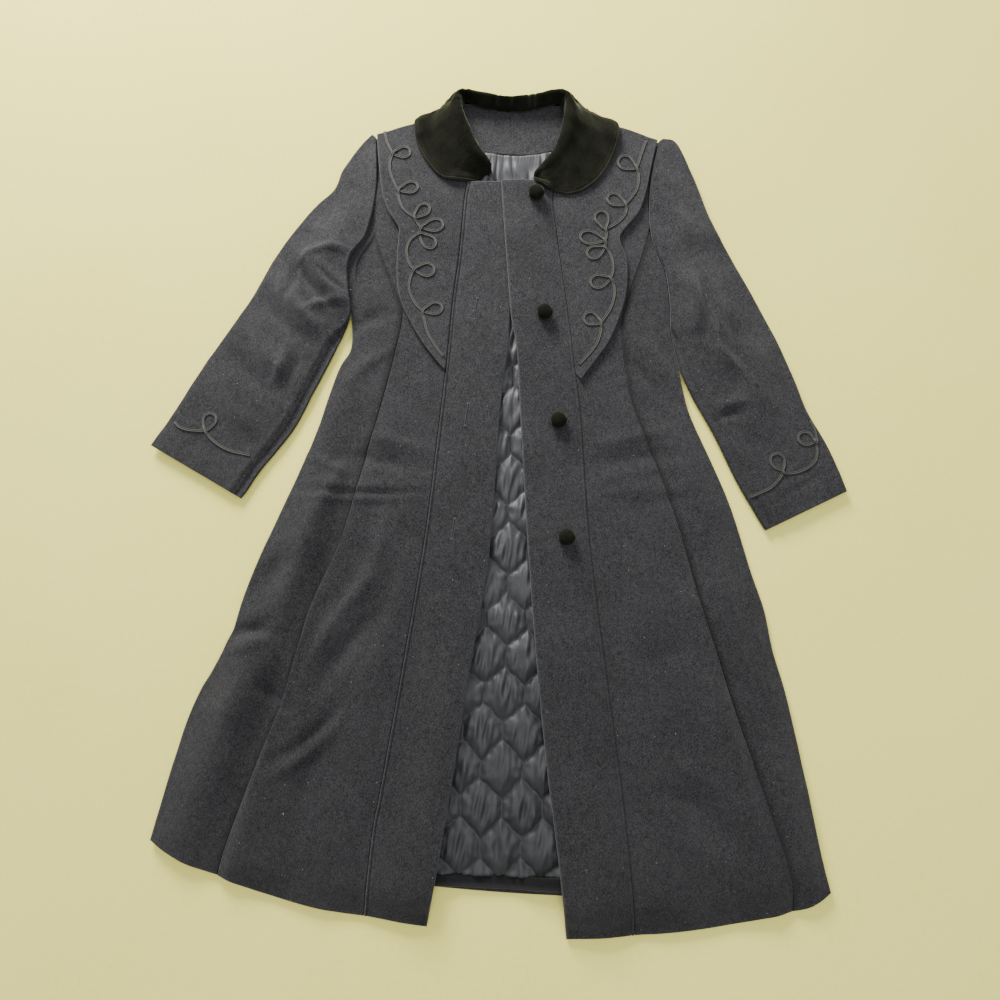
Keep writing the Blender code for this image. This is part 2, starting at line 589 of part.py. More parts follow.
def body_rows():
    return np.array(spread(BODY_ROWS, start_edge=0.0055, end_edge=0.012))


def rows_from(rows, start):
    """The rows at or after a split, with one row exactly on it, and the same rows rescaled to 0..1."""
    kept = np.array([start] + [r for r in rows if r > start + 0.012])
    return kept, (kept - start) / (1 - start)


def make_fronts(pile):
    rows = body_rows()
    half = GAP / 2
    plans = {}
    side_rows, side_own = rows_from(rows, SIDE_START)
    band_rows, band_own = rows_from(rows, BAND_START)
    plans["side_panel_right"] = between(edge((ARMHOLE_RIGHT + SIDE_RIGHT)[3:], side_own),
                                        edge(PRINCESS_RIGHT, side_rows, -half),
                                        spread(6, start_edge=0.055), crown_end=4)
    plans["side_panel_left"] = between(edge(PRINCESS_LEFT, side_rows, half),
                                       edge((ARMHOLE_LEFT + SIDE_LEFT)[3:], side_own),
                                       spread(6, end_edge=0.06), crown_end=4)
    plans["front_panel_right"] = between(edge(PRINCESS_RIGHT, rows, half),
                                         edge(BAND_SEAM_RIGHT, rows, -half),
                                         spread(8), crown_top=5, crown_end=6)
    plans["front_panel_left"] = between(edge(BAND_SEAM_LEFT, rows, half),
                                        edge(PRINCESS_LEFT, rows, -half),
                                        spread(8), crown_top=5, crown_end=4)
    plans["front_band_right"] = between(edge(BAND_SEAM_RIGHT, band_rows, half),
                                        edge(BAND_EDGE_RIGHT, band_own), spread(5))
    plans["front_band_left"] = between(edge(BAND_EDGE_LEFT, band_own),
                                       edge(BAND_SEAM_LEFT, band_rows, -half), spread(5))
    walls = {"front_band_right": DOUBLE_WOOL, "front_band_left": DOUBLE_WOOL}
    for name, plan in plans.items():
        lay_cloth(name, plan, pile, walls.get(name, FRONT_WALL), "wool")


def make_sleeves(pile):
    rows = spread(19, start_edge=0.012, end_edge=0.012)
    for name, outer, inner, outer_first in (
            ("sleeve_right", SLEEVE_OUTER_RIGHT, ARMHOLE_RIGHT + SLEEVE_INNER_RIGHT, True),
            ("sleeve_left", SLEEVE_OUTER_LEFT, ARMHOLE_LEFT + SLEEVE_INNER_LEFT, False)):
        far = edge(outer, rows)
        near = edge(inner, rows, -GAP if outer_first else GAP)
        pair = (far, near) if outer_first else (near, far)
        plan = between(*pair, spread(9, start_edge=0.035, end_edge=0.035))
        under_plan = plan[1:-1, 1:-1][:, ::2] * 1.0
        middle = 0.5 * (under_plan[:, :1] + under_plan[:, -1:])
        under_plan = middle + (under_plan - middle) * 0.985
        lay_cloth(name + "_under", under_plan[::2], pile, SLEEVE_WALL, "wool", relax=0)
        lay_cloth(name + "_upper", plan, pile, SLEEVE_WALL, "wool", relax=10)


def make_caplets(pile):
    rows = np.array([r for r in body_rows() if r < CAPLET_END - 0.01] + [CAPLET_END])
    own = rows / CAPLET_END
    right = between(edge(CAPLET_EDGE_RIGHT, own), edge(BAND_SEAM_RIGHT, rows, -GAP), spread(7), crown_top=5)
    left = between(edge(BAND_SEAM_LEFT, rows, GAP), edge(CAPLET_EDGE_LEFT, own), spread(7), crown_top=5)
    lay_cloth("caplet_right", right, pile, CAPLET_WALL, "wool", relax=4)
    lay_cloth("caplet_left", left, pile, CAPLET_WALL, "wool", relax=4)


def high_near(pile, x, y, radius):
    """The pile's highest point within a radius."""
    best = pile.height(x, y)
    for ring in (0.5, 1.0):
        for k in range(12):
            angle = math.tau * k / 12
            best = max(best, pile.height(x + ring * radius * math.cos(angle),
                                         y + ring * radius * math.sin(angle)))
    return best


def collar_profile(section, pile):
    """Centre line of one collar section, from the neck seam over the roll to the outer edge."""
    roll_point = np.array((section["x"], section["y"]), float)
    out_point = np.array((section["out_x"], section["out_y"]), float)
    run = out_point - roll_point
    reach = np.linalg.norm(run)
    direction = run / reach
    half = COLLAR_WALL / 2
    seam = roll_point + direction * section["foot"]
    seam_height = max(NECK_SEAM_HEIGHT, high_near(pile, seam[0], seam[1], 6.5) + 2 * GAP)
    roll = section["roll"] - half
    keys = [(section["foot"], seam_height),
            (0.5 * section["foot"] - 0.5, 0.5 * (seam_height + roll)),
            (-0.5, roll - 2.0), (0.12 * reach, roll)]
    tucked = []
    if section["under"] == 0:
        rest = high_near(pile, out_point[0], out_point[1], 3.0)
        end = rest + GAP + half + section["edge"]
        for share in (0.28, 0.45, 0.62, 0.80, 0.92, 1.0):
            keys.append((share * reach, end + (roll - end) * (1 - share) ** 1.6))
    else:
        keys += [(0.55 * reach, roll * 0.86), (0.92 * reach, roll * 0.58), (reach, roll * 0.33)]
        for back_by, height in ((1.5, 3.6), (0.45 * section["under"] + 2, half),
                                (section["under"] + 3, half)):
            tucked.append((out_point[0] * (1 - 0.0015 * back_by), out_point[1] - back_by, height))
    points = [(*(roll_point + direction * s), z) for s, z in keys] + tucked
    return along(smooth_curve(points, steps=6), np.linspace(0, 1, COLLAR_COLUMNS))


def make_collar(pile):
    centre = np.array([collar_profile(section, pile) for section in COLLAR_SECTIONS])
    around = np.gradient(centre, axis=0)
    across = np.gradient(centre, axis=1)
    normal = np.cross(around, across)
    normal /= np.linalg.norm(normal, axis=-1, keepdims=True)
    if normal[3, 8, 2] < 0:
        normal = -normal
    half = COLLAR_WALL / 2
    inner = centre - normal * half
    outer = centre + normal * half
    first_fall = 3
    on_top = [i for i, section in enumerate(COLLAR_SECTIONS) if section["under"] == 0]
    middle = len(COLLAR_SECTIONS) // 2
    for side in ([i for i in on_top if i < middle], [i for i in on_top if i > middle]):
        part = slice(side[0], side[-1] + 1)
        cells = cell_heights(inner[part, first_fall:, :2], pile)
        low = cells_to_points(cells) + GAP
        below = np.minimum(inner[part, first_fall:, 2], outer[part, first_fall:, 2])
        lift = np.maximum(0.0, low - below)
        inner[part, first_fall:, 2] += lift
        outer[part, first_fall:, 2] += lift
    inner[..., 2] = np.maximum(inner[..., 2], 0.0)
    outer[..., 2] = np.maximum(outer[..., 2], 0.0)
    rows, columns = centre.shape[:2]
    count = rows * columns
    points = np.vstack([outer.reshape(-1, 3), inner.reshape(-1, 3)])
    faces = grid_faces(rows, columns) + grid_faces(rows, columns, count, flip=True)
    faces += rim_faces(rows, columns, count)
    make_object("collar", points, faces, "velvet")


def loop_points(row):
    """A drop-shaped loop from its crossing round its tip and back; it sets off on its lower side."""
    root = np.array((row["x"], row["y"]), float)
    tip = np.array((row["tip_x"], row["tip_y"]), float)
    along_loop = tip - root
    length = np.linalg.norm(along_loop)
    along_loop /= length
    aside = np.array((along_loop[1], -along_loop[0]))
    if aside[1] > 0:
        aside = -aside
    half = row["width"] / 2
    shape = [(0.0, 0.0), (0.34, 0.72), (0.66, 1.0), (0.93, 0.62), (1.0, 0.0),
             (0.93, -0.62), (0.66, -1.0), (0.34, -0.72), (0.0, 0.0)]
    return [tuple(root + along_loop * length * a + aside * half * b) for a, b in shape]


def braid_path(table, step):
    points = []
    for row in table:
        points += loop_points(row) if "tip_x" in row else [(row["x"], row["y"])]
    fine = smooth_curve(points, steps=8)
    length = np.linalg.norm(np.diff(fine, axis=0), axis=1).sum()
    return along(fine, np.linspace(0, 1, int(length / step) + 1)), length


def lay_braid(name, table, pile, step=4.9):
    """A flat ribbon of braid along a path of loops, each later pass lying over the earlier one."""
    path, length = braid_path(table, step)
    tangent = np.gradient(path, axis=0)
    tangent /= np.linalg.norm(tangent, axis=1, keepdims=True)
    side = np.stack([-tangent[:, 1], tangent[:, 0]], axis=1)
    half = BRAID_WIDTH / 2
    low = np.zeros(len(path))
    for i in range(len(path)):
        for forward in (-0.5, 0.0, 0.5):
            for across in (-1.05, 0.0, 1.05):
                x, y = path[i] + tangent[i] * forward * step + side[i] * across * half
                low[i] = max(low[i], pile.height(x, y) + GAP)
    along_path = np.arange(len(path)) * length / (len(path) - 1)
    height = low.copy()
    reach = BRAID_WIDTH + 0.5 * step
    for _ in range(4):
        for i in range(len(path)):
            for k in range(i):
                if along_path[i] - along_path[k] > 3 * BRAID_WIDTH:
                    if np.linalg.norm(path[i] - path[k]) < reach:
                        height[i] = max(height[i], height[k] + BRAID_HEIGHT + GAP)
        spacing = along_path[1]
        for i in range(1, len(path)):
            height[i] = max(height[i], height[i - 1] - 0.45 * spacing)
        for i in range(len(path) - 2, -1, -1):
            height[i] = max(height[i], height[i + 1] - 0.45 * spacing)
    points = []
    for i in range(len(path)):
        for across, rise in ((-1.0, 0.0), (1.0, 0.0), (0.7, BRAID_HEIGHT), (-0.7, BRAID_HEIGHT)):
            x, y = path[i] + side[i] * across * half
            points.append((x, y, height[i] + rise))
    faces = [(0, 2, 1), (0, 3, 2)]
    last = 4 * (len(path) - 1)
    faces += [(last, last + 1, last + 2), (last, last + 2, last + 3)]
    for i in range(len(path) - 1):
        a = 4 * i
        for k in range(4):
            p, q = a + k, a + (k + 1) % 4
            faces += [(p, q + 4, p + 4), (p, q, q + 4)]
    make_object(name, points, faces, "braid", smooth=False)


def make_buttons(pile):
    """Velvet-covered ball buttons on the left band."""
    profile = [(BUTTON_FOOT, 0.0), (7.8, 2.4), (BUTTON_RADIUS, 6.2), (8.4, 9.6), (5.0, 12.2)]
    sides = 14
    for number, place in enumerate(BUTTONS, 1):
        base = high_near(pile, place["x"], place["y"], BUTTON_FOOT) + GAP
        points = [(place["x"], place["y"], base)]
        for radius, height in profile:
            for k in range(sides):
                angle = math.tau * k / sides
                points.append((place["x"] + radius * math.cos(angle),
                               place["y"] + radius * math.sin(angle), base + height))
        points.append((place["x"], place["y"], base + BUTTON_HEIGHT))
        top = len(points) - 1
        faces = []
        for k in range(sides):
            n = (k + 1) % sides
            faces.append((0, 1 + n, 1 + k))
            for ring in range(len(profile) - 1):
                a, b = 1 + ring * sides, 1 + (ring + 1) * sides
                faces += [(a + k, a + n, b + n), (a + k, b + n, b + k)]
            last = 1 + (len(profile) - 1) * sides
            faces.append((last + k, last + n, top))
        make_object(f"button_{number}", points, faces, "velvet")


def build():
    clear_scene()
    pile = Pile()
    back_plan = make_back(pile)
    make_lining(pile, back_plan)
    make_hem_facing(pile)
    make_neck(pile)
    make_fronts(pile)
    make_sleeves(pile)
    make_caplets(pile)
    make_buttons(pile)
    lay_braid("caplet_braid_right", CAPLET_BRAID_RIGHT, pile)
    lay_braid("caplet_braid_left", CAPLET_BRAID_LEFT, pile)
    lay_braid("cuff_braid_right", CUFF_BRAID_RIGHT, pile)
    lay_braid("cuff_braid_left", CUFF_BRAID_LEFT, pile)
    make_collar(pile)


build()
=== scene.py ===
"""Looks of a girl's long dress coat, laid out open: wool, velvet, quilted satin and soutache braid.

Tables are in millimetres: X to the viewer's right, Y to the collar, Z up; right and left are the wearer's.
"""
import math

import bpy
import numpy as np
from mathutils import Matrix, Vector
from mathutils.bvhtree import BVHTree


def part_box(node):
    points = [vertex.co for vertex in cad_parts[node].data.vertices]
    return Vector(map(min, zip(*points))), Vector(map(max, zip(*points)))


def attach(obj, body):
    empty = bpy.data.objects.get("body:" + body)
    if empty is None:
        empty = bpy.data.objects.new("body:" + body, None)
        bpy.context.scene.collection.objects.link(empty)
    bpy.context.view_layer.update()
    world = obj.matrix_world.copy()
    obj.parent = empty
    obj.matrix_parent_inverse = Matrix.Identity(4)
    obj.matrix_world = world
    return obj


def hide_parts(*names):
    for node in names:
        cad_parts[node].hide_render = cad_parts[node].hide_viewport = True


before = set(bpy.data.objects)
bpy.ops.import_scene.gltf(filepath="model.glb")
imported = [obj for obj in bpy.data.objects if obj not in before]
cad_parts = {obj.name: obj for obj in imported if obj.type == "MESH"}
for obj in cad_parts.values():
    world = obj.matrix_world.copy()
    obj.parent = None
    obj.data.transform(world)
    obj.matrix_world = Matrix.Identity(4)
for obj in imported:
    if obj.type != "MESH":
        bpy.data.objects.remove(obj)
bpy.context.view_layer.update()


def rows_of(columns, rows):
    """A table's rows under the names of its columns; a short row has only the first of them."""
    return [dict(zip(columns.split(), row)) for row in rows]


MM = 0.001
CENTRE = np.array((0.5, -3.55, 0.0))

# Walls of the cloths, and sizes of the trimmings and of the welt beside the bands
WOOL = 2.4
DOUBLE_WOOL = 4.6
FRONT_WALL = 3.0
CAPLET_WALL = 2.6
SLEEVE_WALL = 4.2
SATIN = 1.4
COLLAR_WALL = 3.4
BRAID_WIDTH, BRAID_HEIGHT = 3.4, 1.5
BUTTON_RADIUS, BUTTON_HEIGHT = 9.5, 13.0
WELT, WELT_RISE, WELT_STITCH = 2.8, 1.0, 0.7
NECK_SEAM_HEIGHT = 10.0

# Gaps at seams, how far the back stays inside the fronts, and how the caplets and sleeve heads rise
SEAM_GAP = 0.3
BACK_INSET = 6.5
CAPLET_STAND, CAPLET_REACH = 2.4, 8.0
HEAD_REACH = 17.0

# How deep the creases are drawn, how a sewn edge turns down, and the thinnest that a wall may get
CREASE_DEPTH = 1.9
SEAM_ROUND, SEAM_DEPTH = 1.5, 1.0
LEAST_WALL = 0.12

# Unevenness of the cloth, and a distance at which no seam or edge shows any more
SWELL = dict(wavelength=46.0, seed=11)
RIPPLE, RIPPLE_SHARE = dict(wavelength=15.0, seed=5), 0.25
OUT_OF_SIGHT = 30.0
NO_SEAM = (20.0, 0.0)

# The photograph's camera: tilt up the coat and roll in degrees, place, and lens to sensor width
CAMERA_TILT, CAMERA_ROLL = 8.6, 1.6
CAMERA_PLACE = np.array((8.0, -152.0, 841.0))
SENSOR, LENS_TO_SENSOR = 36.0, 0.751

# Lamps in metres from the coat's middle, and the light of the room
LAMPS = rows_of("name place size power colour", [
    ("window", (-0.7, 1.75, 0.85), 0.7, 92.0, (1.0, 0.985, 0.96)),
    ("ceiling", (0.3, -0.2, 2.4), 2.2, 30.0, (0.97, 0.98, 1.0))])
ROOM_COLOUR, ROOM_STRENGTH = (0.93, 0.96, 1.0, 1.0), 0.62

# Linear colours: the darkest and the lightest of each cloth, painted shade for its seams, grooves, sides and
# lower parts, painted highlights for its edges and crushed pile, and its stitching and lint
WOOL_TONES = (0.0085, 0.0080, 0.0088), (0.0545, 0.0525, 0.0545)
# A darker copy of the wool: on the turned-up back hem, and as painted shade in the buttonhole slits
WOOL_DARKER_TONES = (0.004, 0.004, 0.004), (0.016, 0.015, 0.016)
WOOL_EDGE_HIGHLIGHT, WOOL_SEAM_SHADE, LINT = (0.115, 0.114, 0.112), (0.003, 0.003, 0.003), (0.42, 0.42, 0.42)
VELVET_FACE = (0.0030, 0.0033, 0.0021), (0.0150, 0.0157, 0.0105)
VELVET_LIT = (0.012, 0.0125, 0.008), (0.055, 0.057, 0.042)
VELVET_STITCHING = (0.002, 0.002, 0.001)
SATIN_TONES = (0.034, 0.0345, 0.0375), (0.062, 0.063, 0.068)
SATIN_SEAM_SHADE, SATIN_STITCH, SATIN_HEM_SHADE = (0.002, 0.002, 0.0025), (0.05, 0.05, 0.055), (0.001, 0.001, 0.001)
BRAID_TONES = (0.018, 0.0185, 0.013), (0.060, 0.0605, 0.045)
BRAID_SIDE_SHADE, BRAID_GROOVE_SHADE = (0.004, 0.004, 0.003), (0.006, 0.006, 0.004)
THREAD_TONES = (0.030, 0.029, 0.032), (0.070, 0.068, 0.072)
FLOOR_TONES = (0.94, 0.85, 0.19), (0.99, 0.92, 0.24)
BLACK = (0.0, 0.0, 0.0)

# Quilted lining: its cells, its puff and where it shows
CELL_WIDTH, CELL_SIDE = 44.0, 19.75
CELL_X, CELL_Y = -7.0, -356.0
QUILT_BASE, QUILT_PUFF, QUILT_ROUND = 1.8, 5.6, 15.0
QUILT_DRAWN, QUILT_DRAPE, QUILT_TILT, QUILT_RUMPLE = 1.5, 0.24, 1.1, 1.25
LINING_TOP, LINING_HEM = 312.0, -424.0
QUILT_END, QUILT_MARGIN = 190.0, 14.0
LINING_TUCK, HEM_ROUND, HEM_DEPTH = 18, 3.4, 3.6

# Seams and edges in plan: x, y from the neck or shoulder down to the hem
ARMHOLE_RIGHT = [(-158, 414), (-154, 376), (-153, 345), (-156, 312), (-163, 282), (-177, 259),
                 (-181, 240), (-178, 214), (-175, 186)]
ARMHOLE_LEFT = [(184, 417), (175, 373), (172, 335), (174, 296), (184, 268), (192, 246),
                (196, 214), (196, 186), (200, 160), (206, 134)]
SIDE_RIGHT = [(-173, 147), (-186, 120), (-206, 49), (-223, 2), (-241, -44), (-259, -90),
              (-274, -134), (-285, -178), (-303, -221), (-315, -243), (-329, -285), (-348, -367),
              (-354, -398)]
SIDE_LEFT = [(217, 84), (237, 38), (257, -8), (272, -52), (285, -97), (299, -140), (307, -183),
             (319, -225), (336, -307), (351, -388), (361, -430)]
PRINCESS_RIGHT = [(-158, 414), (-154, 376), (-153, 345), (-156, 305), (-143, 262), (-124, 218),
                  (-115, 190), (-122, 141), (-133, 87), (-145, 34), (-170, -73), (-199, -150),
                  (-221, -246), (-243, -311), (-269, -388), (-280, -431)]
PRINCESS_LEFT = [(184, 417), (175, 373), (172, 335), (173, 305), (162, 262), (147, 218), (140, 190),
                 (142, 154), (150, 100), (161, 65), (180, 17), (205, -54), (226, -133), (261, -245),
                 (283, -308), (317, -412), (321, -450)]
BAND_SEAM_RIGHT = [(-63, 438), (-60, 416), (-54, 388), (-46, 357), (-48, 331), (-52, 263), (-57, 210),
                   (-61, 140), (-69, 33), (-78, -73), (-96, -214), (-113, -339), (-119, -380),
                   (-125, -467)]
BAND_SEAM_LEFT = [(79, 441), (78, 418), (71, 387), (57, 346), (63, 292), (71, 239), (79, 186),
                  (85, 140), (94, 67), (105, -68), (125, -216), (145, -358), (157, -478)]
BAND_EDGE_RIGHT = [(14, 358), (14, 300), (12, 240), (10, 189), (9, 147), (4, 105), (1, 55), (-1, -3),
                   (-8, -114), (-22, -207), (-37, -326), (-50, -419), (-59, -475)]
BAND_EDGE_LEFT = [(-5, 356), (0, 300), (6, 240), (11, 189), (19, 147), (26, 55), (36, -70),
                  (49, -205), (62, -313), (74, -393), (86, -484)]
CAPLET_EDGE_RIGHT = [(-156, 414), (-154, 396), (-146, 341), (-137, 314), (-124, 294), (-123, 285),
                     (-124, 259), (-123, 232), (-118, 206), (-106, 180), (-90, 154), (-74, 134),
                     (-64, 123)]
CAPLET_EDGE_LEFT = [(182, 417), (175, 386), (168, 350), (159, 322), (140, 297), (137, 286),
                    (144, 266), (146, 248), (144, 219), (137, 192), (125, 162), (110, 139), (93, 115)]
SLEEVE_OUTER_RIGHT = [(-163, 418), (-178, 399), (-195, 370), (-205, 343), (-229, 317), (-264, 265),
                      (-288, 215), (-316, 165), (-345, 116), (-370, 68), (-394, 26)]
SLEEVE_OUTER_LEFT = [(189, 421), (205, 417), (222, 381), (232, 356), (247, 315), (277, 255),
                     (290, 231), (315, 182), (335, 135), (352, 88), (377, 42), (395, -5)]
SLEEVE_INNER_RIGHT = [(-191, 144), (-212, 96), (-234, 48), (-267, 1), (-281, -23), (-287, -32)]
SLEEVE_INNER_LEFT = [(217, 108), (243, 61), (265, 15), (276, -7), (302, -52)]

# Collar sections from the right tip round the back to the left tip: the highest point of the roll, how
# far the fall reaches in plan, the roll's height, where the neck seam lies outwards of the roll, the
# height of the outer edge above what it lies on, and how much of the fall turns under the shoulder
COLLAR_SECTIONS = rows_of("x y out_x out_y roll foot edge under", [
    (-17, 374, -16, 368, 20, 1.5, 0.0, 0),
    (-22, 382, -33, 359, 23, 3, 0.0, 0),
    (-31, 392, -52, 355, 26, 4, 0.0, 0),
    (-39, 404, -74, 358, 28, 4, 0.0, 0),
    (-45, 417, -91, 374, 30, 4, 0.0, 0),
    (-51, 430, -104, 395, 31, 3, 0.0, 0),
    (-55, 441, -111, 417, 32, 1, 0.0, 0),
    (-57, 448, -110, 434, 32, -1, 0.0, 0),
    (-58, 454, -97, 446, 32, -3, 3.0, 0),
    (-58, 459, -85, 455, 31, -5, 0.0, 6),
    (-56, 463, -73, 464, 31, -7, 0.0, 30),
    (-49, 464, -59, 472, 30, -8, 0.0, 48),
    (-34, 462, -38, 470, 28, -9, 0.0, 54),
    (-16, 460, -18, 467, 27, -9, 0.0, 56),
    (4, 459, 4, 466, 26, -9, 0.0, 57),
    (22, 460, 24, 468, 27, -9, 0.0, 56),
    (40, 463, 43, 471, 28, -9, 0.0, 54),
    (59, 466, 67, 475, 30, -8, 0.0, 48),
    (68, 464, 84, 467, 31, -7, 0.0, 30),
    (71, 459, 100, 458, 31, -5, 0.0, 6),
    (72, 453, 116, 449, 32, -3, 3.0, 0),
    (71, 446, 133, 437, 32, -1, 0.0, 0),
    (70, 437, 135, 416, 32, 1, 0.0, 0),
    (68, 426, 129, 394, 31, 3, 0.0, 0),
    (66, 414, 118, 371, 30, 4, 0.0, 0),
    (62, 402, 102, 352, 28, 4, 0.0, 0),
    (56, 391, 81, 341, 26, 4, 0.0, 0),
    (48, 381, 59, 343, 24, 4, 0.0, 0),
    (40, 372, 44, 351, 22, 3, 0.0, 0),
    (34, 364, 33, 359, 20, 1.5, 0.0, 0),
])

# Braid loops: the crossing, the far tip and the width; a row with no tip is a point on the way
TURN = "x y tip_x tip_y width"
CAPLET_BRAID_RIGHT = rows_of(TURN, [
    (-147, 419), (-143, 404),
    (-135, 388, -115, 392, 14),
    (-138, 376), (-137, 364), (-132, 351),
    (-126, 341, -104, 348, 14),
    (-125, 330), (-119, 317),
    (-106, 308, -90, 323, 14),
    (-102, 300),
    (-97, 295, -72, 301, 15),
    (-99, 287, -81, 272, 15),
    (-109, 279), (-113, 266), (-110, 251),
    (-103, 242, -80, 243, 16),
    (-107, 232), (-108, 218), (-101, 202),
    (-91, 192, -69, 198, 14),
    (-89, 182), (-84, 165), (-74, 149), (-65, 138)])
CAPLET_BRAID_LEFT = rows_of(TURN, [
    (168, 415), (162, 397),
    (156, 379, 135, 389, 17),
    (159, 367), (156, 350),
    (143, 332, 122, 340, 15),
    (144, 322), (136, 310),
    (120, 300, 112, 321, 16),
    (121, 293),
    (119, 285, 90, 289, 16),
    (119, 276, 99, 265, 15),
    (127, 264), (129, 250),
    (126, 238, 103, 231, 16),
    (131, 223), (127, 203),
    (115, 184, 96, 191, 15),
    (115, 172), (110, 157), (99, 142), (91, 133)])
CUFF_BRAID_RIGHT = rows_of(TURN, [
    (-368, 53), (-361, 47), (-349, 44),
    (-332, 44, -326, 64, 15),
    (-327, 37), (-316, 28), (-300, 21), (-279, 17)])
CUFF_BRAID_LEFT = rows_of(TURN, [
    (284, -15), (296, -10), (310, -2),
    (322, 14, 313, 35, 16),
    (335, 14), (350, 20), (360, 31),
    (361, 49, 341, 57, 15),
    (360, 63), (355, 75)])

# Where the side panels and the bands start and the caplets end, as fractions of their seams
SIDE_START, BAND_START, CAPLET_END = 0.130, 0.092, 0.350

BUTTONS = rows_of("x y", [(37, 338), (50, 192), (68, 65), (79, -67)])
BUTTONHOLES = rows_of("x0 y0 x1 y1", [(-17, 351, -16, 331), (-28, 209, -30, 185),
                                      (-34, 82, -37, 58), (-45, -50, -47, -71)])

# Soft ridges and troughs in the wool: start, end, height, half width, sideways bend at the middle
CREASE = "x0 y0 x1 y1 height width bend"
CREASES_RIGHT = rows_of(CREASE, [
    (-226, -20, -74, -19, -1.5, 3, 3),
    (-224, -27, -80, -26, 1.2, 4, 3),
    (-221, 20, -160, -8, 1.4, 4, -3),
    (-234, -330, -152, -262, 2.6, 5, 7),
    (-238, -318, -160, -252, -2.2, 5, 7),
    (-286, -184, -224, -182, -2.2, 6, -4),
    (-250, -232, -214, -262, -2.6, 5, 3),
    (-312, -260, -266, -268, 1.6, 6, -4),
    (-104, -48, -88, -80, -1.6, 4, 2),
    (-60, 20, -178, 44, 1.3, 7, 6),
    (-66, 2, -196, 18, -1.6, 8, 5),
    (-90, -14, -205, -12, 1.4, 9, -4),
    (-150, 36, -214, -90, 1.8, 9, 8),
    (-120, -30, -168, -190, 2.2, 10, -7),
    (-104, -60, -140, -210, -2.0, 10, -6),
    (-128, -110, -205, -236, 2.6, 8, 9),
    (-118, -150, -196, -262, -2.4, 9, 9),
    (-170, -60, -196, -150, -1.8, 9, 4),
    (-224, -90, -262, -150, -2.4, 13, 5),
    (-240, -176, -296, -196, 2.2, 9, -7),
    (-232, -160, -292, -176, -2.2, 8, -8),
    (-236, -196, -284, -300, 2.0, 16, 8),
    (-110, -280, -150, -440, 1.2, 16, 5),
    (-70, -120, -92, -330, -0.8, 12, 3),
    (-122, 150, -176, 100, 1.6, 8, 4),
    (-130, 190, -174, 168, -1.6, 8, 4),
    (-30, 130, -46, 20, 0.7, 14, 4)])
CREASES_LEFT = rows_of(CREASE, [
    (96, 30, 208, 58, 1.2, 8, -6),
    (100, 10, 222, 30, -1.5, 8, -6),
    (118, -12, 232, 0, 1.2, 9, 5),
    (150, -80, 196, -220, 1.4, 12, 7),
    (128, -150, 158, -300, -1.1, 13, 5),
    (186, -300, 262, -356, 1.9, 11, -10),
    (176, -330, 268, -400, -1.9, 11, -12),
    (178, -372, 276, -430, 1.4, 11, -8),
    (150, -200, 226, -180, -1.4, 14, 5),
    (246, -60, 272, -160, 1.2, 9, 4),
    (278, -170, 318, -330, -1.6, 11, 6),
    (160, 170, 190, 120, 1.4, 8, -4),
    (150, 140, 186, 92, -1.4, 8, -4),
    (60, 10, 86, -190, 0.8, 14, 4)])
CREASES_SLEEVE_RIGHT = rows_of(CREASE, [
    (-222, 250, -180, 212, -4.2, 4, 4),
    (-240, 250, -178, 262, 2.4, 4, -9),
    (-234, 186, -177, 201, 2.8, 4, -7),
    (-246, 156, -261, 98, 2.2, 5, -4),
    (-232, 146, -249, 94, -2.2, 5, -4),
    (-242, 250, -256, 198, -1.8, 5, -4),
    (-232, 262, -184, 214, 3.2, 6, 5),
    (-236, 246, -188, 192, -4.2, 6, 6),
    (-262, 232, -206, 168, 2.6, 7, 7),
    (-276, 216, -214, 146, -2.6, 8, 8),
    (-232, 300, -196, 262, 1.8, 7, -4),
    (-290, 176, -232, 104, 1.8, 9, 8),
    (-306, 150, -250, 80, -1.6, 9, 8),
    (-330, 110, -276, 44, 1.3, 10, 6),
    (-190, 380, -178, 320, 1.0, 8, 3)])
CREASES_SLEEVE_LEFT = rows_of(CREASE, [
    (214, 250, 226, 176, 2.6, 7, -5),
    (228, 256, 240, 166, -2.8, 7, -5),
    (244, 234, 256, 130, 2.0, 9, -6),
    (262, 206, 276, 104, -1.8, 9, -6),
    (286, 176, 300, 76, 1.5, 11, -6),
    (204, 330, 214, 276, 1.6, 8, -4),
    (240, 300, 262, 246, -1.2, 9, -4),
    (306, -26, 388, 22, -1.0, 2, -3),
    (226, 166, 292, 112, 1.8, 6, -6),
    (250, 84, 286, 96, 1.9, 5, -4),
    (248, 72, 282, 82, -1.9, 5, -4)])

# The long fold on each front panel and the hollow beside it on the side panel
FOLD_RIGHT = rows_of(CREASE, [(-150, 0, -276, -480, 7.0, 11, 9)])
HOLLOW_RIGHT = rows_of(CREASE, [(-158, 0, -282, -480, -3.5, 16, 9)])
FOLD_LEFT = rows_of(CREASE, [(206, -40, 320, -500, 6.0, 11, 6)])
HOLLOW_LEFT = rows_of(CREASE, [(214, -40, 326, -500, -3.0, 16, 6)])

# Places over the collar from its neck seam to its outer edge, close together at the edge
COLLAR_ROWS = 190
COLLAR_WIDTH, COLLAR_STITCHING = 75.0, 3.1
COLLAR_CLOSE = np.array((9.0, 7.0, 5.4, 4.2, 3.5, 3.0, 2.5, 1.9, 1.3, 0.7, 0.3, 0.0))
COLLAR_SHARES = np.concatenate([np.linspace(0, 0.84, 30)[:-1], 1 - COLLAR_CLOSE / COLLAR_WIDTH])


def smooth_curve(points, steps=12):
    """A smooth curve through the points, as a fine polyline."""
    points = np.array(points, float)
    ends = np.vstack([2 * points[0] - points[1], points, 2 * points[-1] - points[-2]])
    fine = []
    for a, b, c, d in zip(ends[:-3], ends[1:-2], ends[2:-1], ends[3:]):
        for step in range(steps):
            t = step / steps
            fine.append(0.5 * (2 * b + (c - a) * t + (2 * a - 5 * b + 4 * c - d) * t ** 2
                               + (3 * b - a - 3 * c + d) * t ** 3))
    fine.append(points[-1])
    return np.array(fine)


